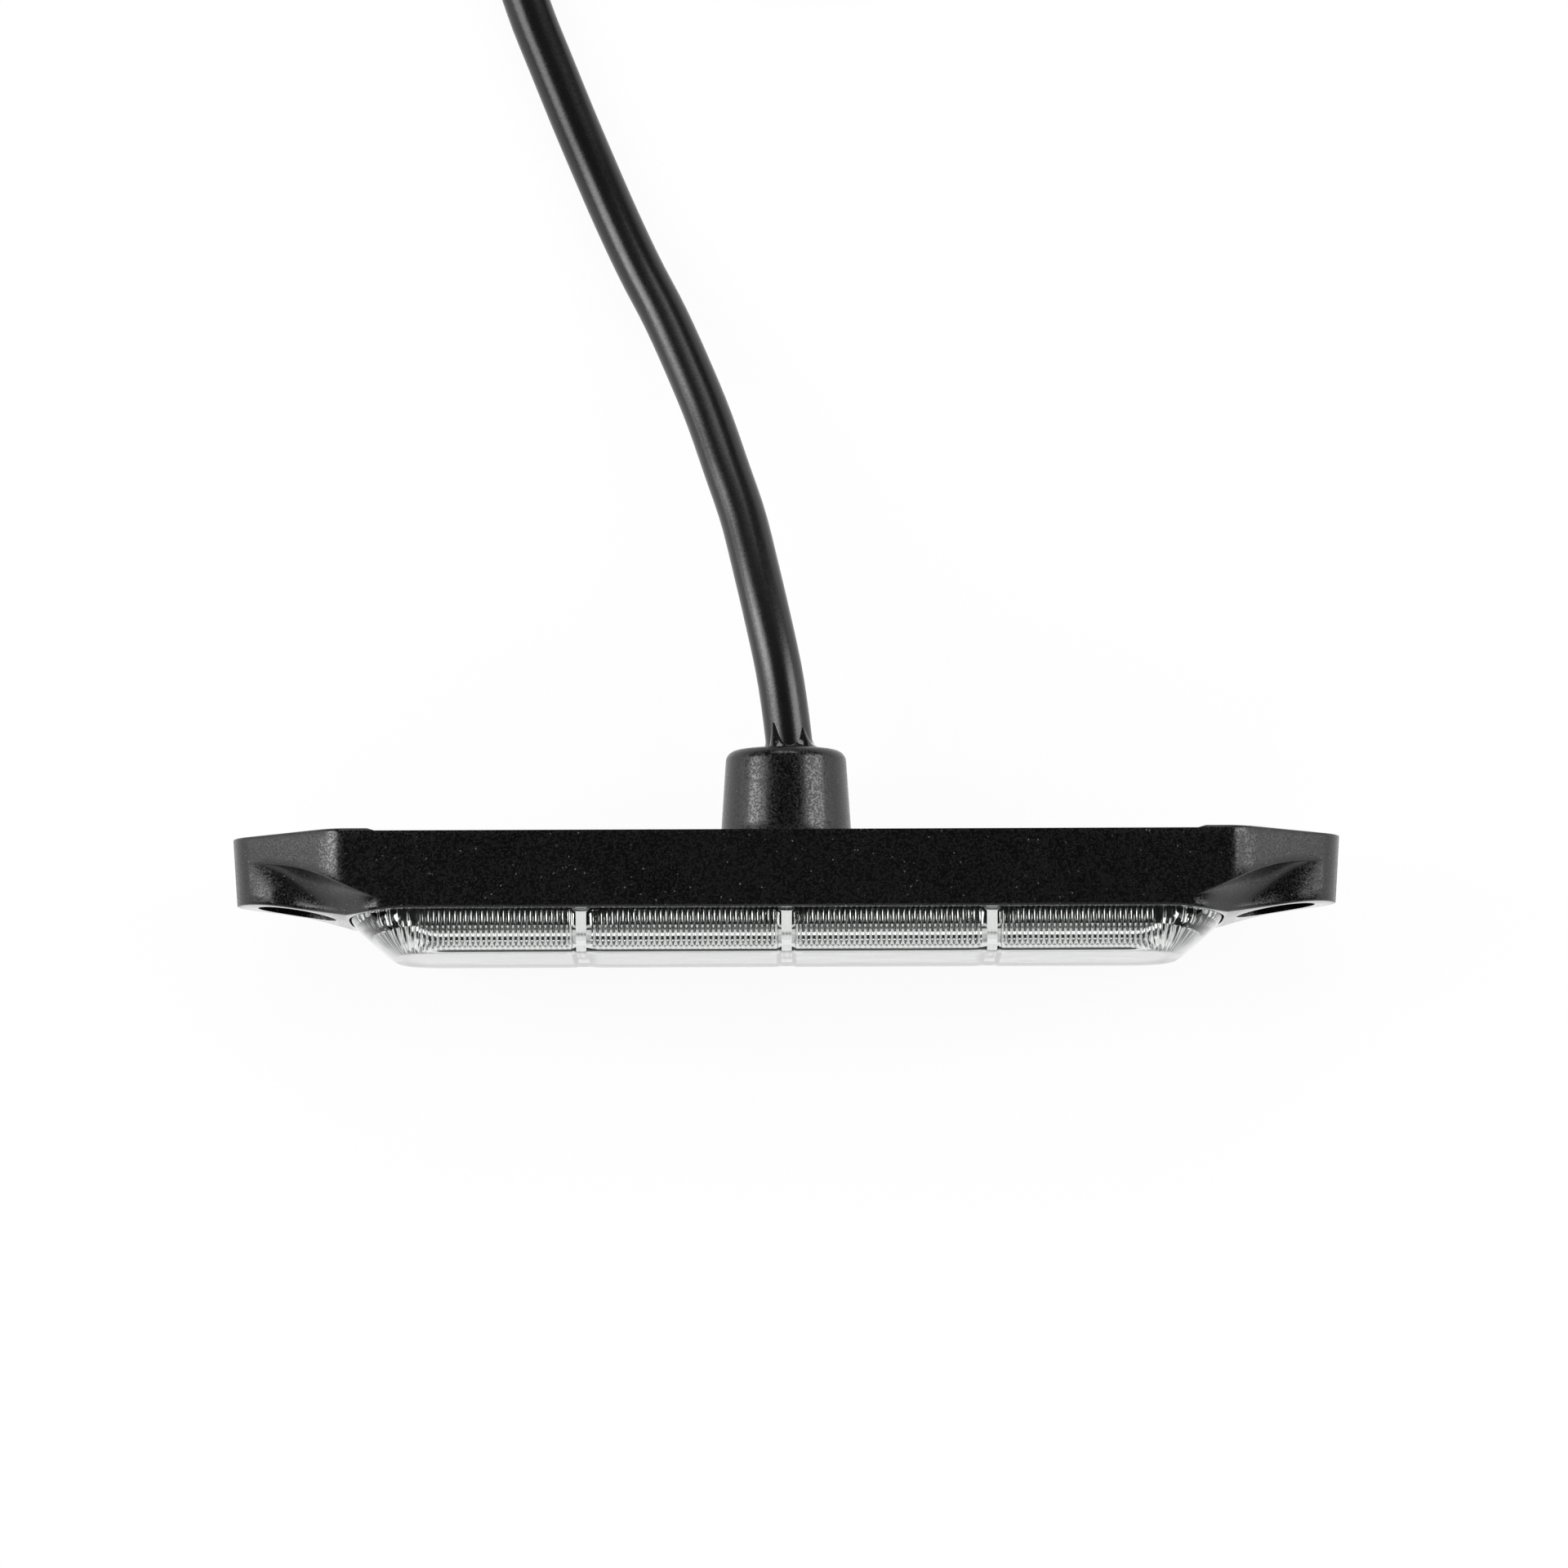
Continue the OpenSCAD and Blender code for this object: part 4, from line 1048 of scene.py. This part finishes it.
def fillBetween(loops):
    flat = [[Vector((lensPoints[i].x, lensPoints[i].z, 0)) / mm for i in loop] for loop in loops]
    order = [i for loop in loops for i in loop]
    lensFaces.extend(tuple(order[i] for i in tri) for tri in tessellate_polygon(flat))


fillBetween([outerFoot, list(range(innerStart, innerStart + len(inner)))])
fillBetween([list(range(innerStart + len(inner), innerStart + 2 * len(inner)))] + holes)
lensMesh = meshOf("clearLens", lensPoints, lensFaces, 1e-7)
lens = addPiece("clearLens", lensMesh, material["clearLens"], 38)
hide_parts("outer_lens")
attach(lens, "root")
print("lens faces", len(lensMesh.polygons))


# Reflectors: a bright tray for each module, with a round cup for each LED
print("reflectors")
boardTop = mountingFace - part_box("led_board")[0].y / mm
traySize = {
    "top": boardTop + 6.3, "bottom": boardTop + 1.5, "half": 10.9, "inset": 2.35, "bow": 8.0, "floor": 1.1,
    "trough": [(9.5, 3.1), (10.1, 8.5)], "troughRound": 1.4, "cupMouth": 3.3, "cupFoot": 1.85,
    "cupLow": 0.75, "cupWall": 0.35, "cupJoin": 3.2, "ledPitch": 6.9, "steps": 8,
}
ledXs = [c + k * traySize["ledPitch"] for c in pillowCentres for k in (-1, 0, 1)]


def trayMesh(i):
    centre, bottom, top = pillowCentres[i], traySize["bottom"], traySize["top"]
    low = -halfLength if i == 0 else centre - traySize["half"]
    high = halfLength if i == 3 else centre + traySize["half"]
    line = [(clamp(x, low, high), y) for x, y in lensOutline(traySize["inset"], traySize["bow"])]
    line = [p for k, p in enumerate(line) if math.dist(p, line[k - 1]) > 1e-4]
    floorHeight = bottom + traySize["floor"]
    rings = []
    for k in range(traySize["steps"] + 1):
        t = k / traySize["steps"]
        x, y = between(*traySize["trough"], 1 - (1 - t) ** 1.6)
        h = lerp(floorHeight, top + 0.02, lerp(t, 1 - math.sqrt(1 - t * t), 0.35))
        rings.append([toScene(centre + px, py, h) for px, py in roundRect(x, y, traySize["troughRound"])])
    cuts = [("DIFFERENCE", loftMesh("trough", rings))]
    foot, mouth, base = traySize["cupFoot"], traySize["cupMouth"], boardTop + traySize["cupLow"]
    cup = []
    for k in range(traySize["steps"] + 1):
        t = k / traySize["steps"]
        cup.append((lerp(foot, mouth, math.sqrt(t)), base + (floorHeight - base + 0.02) * t))
    outside = [(foot + 0.3, base + 0.15)] + [(r + traySize["cupWall"], h) for r, h in cup[1:-2]]
    outside.append((traySize["cupJoin"], bottom + 0.3))
    inside = [(foot - 0.2, base - 0.5)] + cup + [(mouth, floorHeight + 0.5)]
    for x in ledXs[3 * i: 3 * i + 3]:
        cuts.append(("UNION", lathe("cupWall", outside, (x, 0), 48)))
        cuts.append(("DIFFERENCE", lathe("cup", inside, (x, 0), 48)))
    return combined("tray", prism("tray", line, bottom, top), *cuts)


trays = joinPieces(
    "reflectorTrays", [addPiece("tray", trayMesh(i), material["mirrorCoat"]) for i in range(4)]
)
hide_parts("reflector_1", "reflector_2", "reflector_3", "reflector_4")
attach(trays, "root")


# LED packages: one is built, and Geometry Nodes sets it on each pad
print("leds")
ledSize = {
    "edge": 3.45, "height": 0.75, "chip": 1.4, "pads": (-1.2, 1.2), "dome": 1.3,
    "domeSteps": (0, 8, 18, 28, 38, 48, 58, 68, 78, 86),
}


def ledPackage():
    half, h, chip, dome = ledSize["edge"] / 2, ledSize["height"], ledSize["chip"] / 2, ledSize["dome"]
    # Each part is its name, its material's place and its outlines with their heights
    levels = [(half - 0.03, 0), (half, 0.05), (half, h - 0.12), (half - 0.08, h - 0.04)]
    parts = [("ledBody", 0, [(roundRect(r, r, 0.25, 3), z) for r, z in levels])]
    levels = [(chip, h - 0.1), (chip, h + 0.02), (chip - 0.04, h + 0.05)]
    parts.append(("ledChip", 1, [(roundRect(r, r, 0.12, 2), z) for r, z in levels]))
    for middle in ledSize["pads"]:
        pad = [(middle + x, y) for x, y in roundRect(0.3, half - 0.35, 0.15, 2)]
        parts.append(("ledPad", 2, [(pad, h - 0.08), (pad, h + 0.01)]))
    levels = [(dome, h - 0.03)]
    for turn in (math.radians(a) for a in ledSize["domeSteps"]):
        levels.append((dome * math.cos(turn), h + 0.04 + (dome - 0.14) * math.sin(turn)))
    parts.append(("ledDome", 3, [([(r * x, r * y) for x, y in circle(40)], z) for r, z in levels]))
    bm = bmesh.new()
    whole = bpy.data.meshes.new("ledPackage")
    for name, index, outlines in parts:
        known = len(bm.faces)
        part = loftMesh(name, [[Vector((x, y, z)) * mm for x, y in outline] for outline, z in outlines])
        bm.from_mesh(part)
        bpy.data.meshes.remove(part)
        bm.faces.ensure_lookup_table()
        for face in bm.faces[known:]:
            face.material_index = index
    bm.to_mesh(whole)
    bm.free()
    for name in ("ledBody", "phosphor", "goldPad", "clearDome"):
        whole.materials.append(material[name])
    return addPiece("ledPackage", whole, sharp=35)


package = ledPackage()
spotInputs = {"Path": ("Geometry", None), "Package": ("Object", None), "Turn": ("Vector", None)}
spotTree, spotIn, spotOut = newTree("onPads", "Geometry", spotInputs, {"Result": "Geometry"})
info = put(spotTree, "GeometryNodeObjectInfo", {"Object": spotIn["Package"]})
placed = put(
    spotTree, "GeometryNodeInstanceOnPoints",
    {"Points": spotIn["Path"], "Instance": info.outputs["Geometry"], "Rotation": spotIn["Turn"]},
)
made = put(spotTree, "GeometryNodeRealizeInstances", {"Geometry": placed.outputs[0]})
spotTree.links.new(made.outputs[0], spotOut["Result"])
spots = bpy.data.meshes.new("ledSpots")
spots.from_pydata([toScene(x, 0, boardTop) for x in ledXs], [], [])
ledPiece = addPiece("ledSpots", spots)
modifier = ledPiece.modifiers.new("onPads", "NODES")
modifier.node_group = spotTree
setInputs(modifier, Package=package, Turn=(math.radians(90), 0, 0))
leds = addPiece("ledPackages", evaluatedMesh(ledPiece, "ledPackages"))
dropPiece(package)
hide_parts(*[f"led_{n}" for n in range(1, 13)])
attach(leds, "root")


# Adhesive that has crept up the cable: a collar with a few drawn-up tongues
print("adhesive")
sealSize = {
    "thickness": 0.6, "rise": 0.7, "steps": 120, "rows": 29, "wave": 0.12, "ripple": 0.1, "root": 0.22,
    "sunk": 0.08,
    "tongues": [(128, 14, 3.0), (47, 13, 2.2), (200, 18, 2.0), (335, 14, 1.8), (268, 20, 1.5)],
}
exitPoint, exitWay = cablePoints[0], (cablePoints[1] - cablePoints[0]).normalized()
sideWay = exitWay.cross(upright).normalized()
upWay = sideWay.cross(exitWay)


def roundExit(turn, along, radius):
    # A point round the cable where it leaves the boss, at a turn in radians
    return (exitPoint + exitWay * along + (sideWay * math.cos(turn) + upWay * math.sin(turn)) * radius) * mm


def sealPoint(degrees, t):
    # t from 0 at the foot of the collar to 1 at the tips of its tongues
    turn = math.radians(degrees)
    rise = sealSize["rise"] + sum(
        h * math.exp(-((((degrees - at + 180) % 360) - 180) / w) ** 2) for at, w, h in sealSize["tongues"]
    )
    rise *= 1 + sealSize["wave"] * math.sin(math.radians(7 * degrees))
    h = rise * t
    ripple = sealSize["ripple"] * noise.noise(Vector((math.cos(turn) * 2.4, math.sin(turn) * 2.4, h * 0.7)))
    body = sealSize["thickness"] * (1 - t) ** 2.2 * (0.85 + 0.3 * math.sin(math.radians(3 * degrees + 40)))
    r = cableRadius - 0.05 + body
    r += (sealSize["root"] * (1 - t ** 3) + ripple * (1 - t)) if t < 1 else 0
    return roundExit(turn, h - sealSize["sunk"], r)


shares = [s / sealSize["steps"] for s in range(sealSize["steps"])]
heights = [k / sealSize["rows"] for k in range(sealSize["rows"] + 1)]
rings = [[sealPoint(360 * share, t) for share in shares] for t in heights]
for along in (0.6, -0.3):
    rings.append([roundExit(2 * math.pi * share, along, cableRadius - 0.12) for share in shares])
seal = addPiece("sealCollar", loftMesh("sealCollar", rings), material["sealAdhesive"], 60)
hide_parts("cable_seal")
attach(seal, "root")


# Materials for the CAD pieces that stay as they are
print("cad pieces")
coats = {
    "lens_gasket": "gasketRubber", "led_board": "boardMask", "thermal_pad": "thermalPad",
    "controller_chip": "blackEpoxy", "power_switches": "blackEpoxy", "chokes": "ferrite",
    "capacitors": "ceramicBrown", "resistors": "blackEpoxy", "input_diode": "blackEpoxy",
    "board_screws": "screwSteel", "core_joints": "solder", "cable_end": "cableJacket",
    "cable_potting": "potting",
}
coats.update({"core_" + name: "core" + name.capitalize() for name in coreColours})
for name, coat in coats.items():
    nodes[name].data.materials.clear()
    nodes[name].data.materials.append(material[coat])


# Floor, lights and world
print("stage")
stageSize = {"floor": 4.0, "floorWhite": 0.86, "floorGlow": 0.93, "skyLight": 0.55, "skyEdge": 0.24}


def whiteForSight(tree):
    # 1 for rays that look, reflect or pass through, 0 for rays that light a surface
    path = put(tree, "ShaderNodeLightPath").outputs
    seen = mathNode(tree, "MAXIMUM", path["Is Camera Ray"], path["Is Glossy Ray"])
    return mathNode(tree, "MAXIMUM", seen, path["Is Transmission Ray"])


half = stageSize["floor"] / 2
corners = [(-half, -half, 0), (half, -half, 0), (half, half, 0), (-half, half, 0)]
floorMesh = meshOf("floor", corners, [(0, 1, 2, 3)])
floor = addPiece("floor", floorMesh)
floorCoat = bpy.data.materials.new("floorPaper")
floorCoat.use_nodes = True
tree = floorCoat.node_tree
tree.nodes.clear()
sight = whiteForSight(tree)
paper = put(tree, "ShaderNodeBsdfDiffuse", {"Color": tone(stageSize["floorWhite"])})
glow = put(tree, "ShaderNodeEmission", {"Color": tone(1.0), "Strength": 1.0})
share = mathNode(tree, "MULTIPLY", sight, stageSize["floorGlow"])
mixed = put(tree, "ShaderNodeMixShader", {0: share, 1: paper.outputs[0], 2: glow.outputs[0]})
put(tree, "ShaderNodeOutputMaterial", {"Surface": mixed.outputs[0]})
floorMesh.materials.append(floorCoat)

world = bpy.data.worlds.new("studio")
bpy.context.scene.world = world
world.use_nodes = True
tree = world.node_tree
tree.nodes.clear()
sight = whiteForSight(tree)
direction = put(tree, "ShaderNodeTexCoord").outputs["Generated"]
height = put(tree, "ShaderNodeSeparateXYZ", {0: direction}).outputs["Z"]
dim = span(tree, height, 0.0, stageSize["skyEdge"], 1.0, 0.01, smooth=True)
strength = mixValue(tree, sight, stageSize["skyLight"], dim)
sky = put(tree, "ShaderNodeBackground", {"Color": tone(1.0), "Strength": strength})
put(tree, "ShaderNodeOutputWorld", {"Surface": sky.outputs[0]})


def softbox(name, place, aim, size, power):
    light = bpy.data.lights.new(name, "AREA")
    light.shape = "RECTANGLE"
    light.size, light.size_y = size
    light.energy = power
    box = bpy.data.objects.new(name, light)
    bpy.context.scene.collection.objects.link(box)
    box.location = place
    box.rotation_euler = (Vector(aim) - Vector(place)).to_track_quat("-Z", "Y").to_euler()


middle = (0, 0.02, 0.01)
softbox("rightBox", (1.0, 0.3, 0.72), middle, (0.35, 0.8), 6.4)
softbox("leftBox", (-0.95, 0.15, 0.72), middle, (0.3, 0.7), 4.7)
softbox("lowRightBox", (1.2, 0.1, 0.26), middle, (0.14, 0.6), 1.3)
softbox("lowLeftBox", (-1.2, 0.1, 0.26), middle, (0.14, 0.6), 1.6)
softbox("nearBox", (-0.26, 0.05, 0.16), (-0.05, 0.01, 0.01), (0.06, 0.12), 0.12)
softbox("topBox", (0.0, 1.1, 0.9), middle, (0.9, 0.5), 5)
softbox("frontBox", (0.0, -1.0, 0.95), middle, (1.2, 0.4), 2.6)
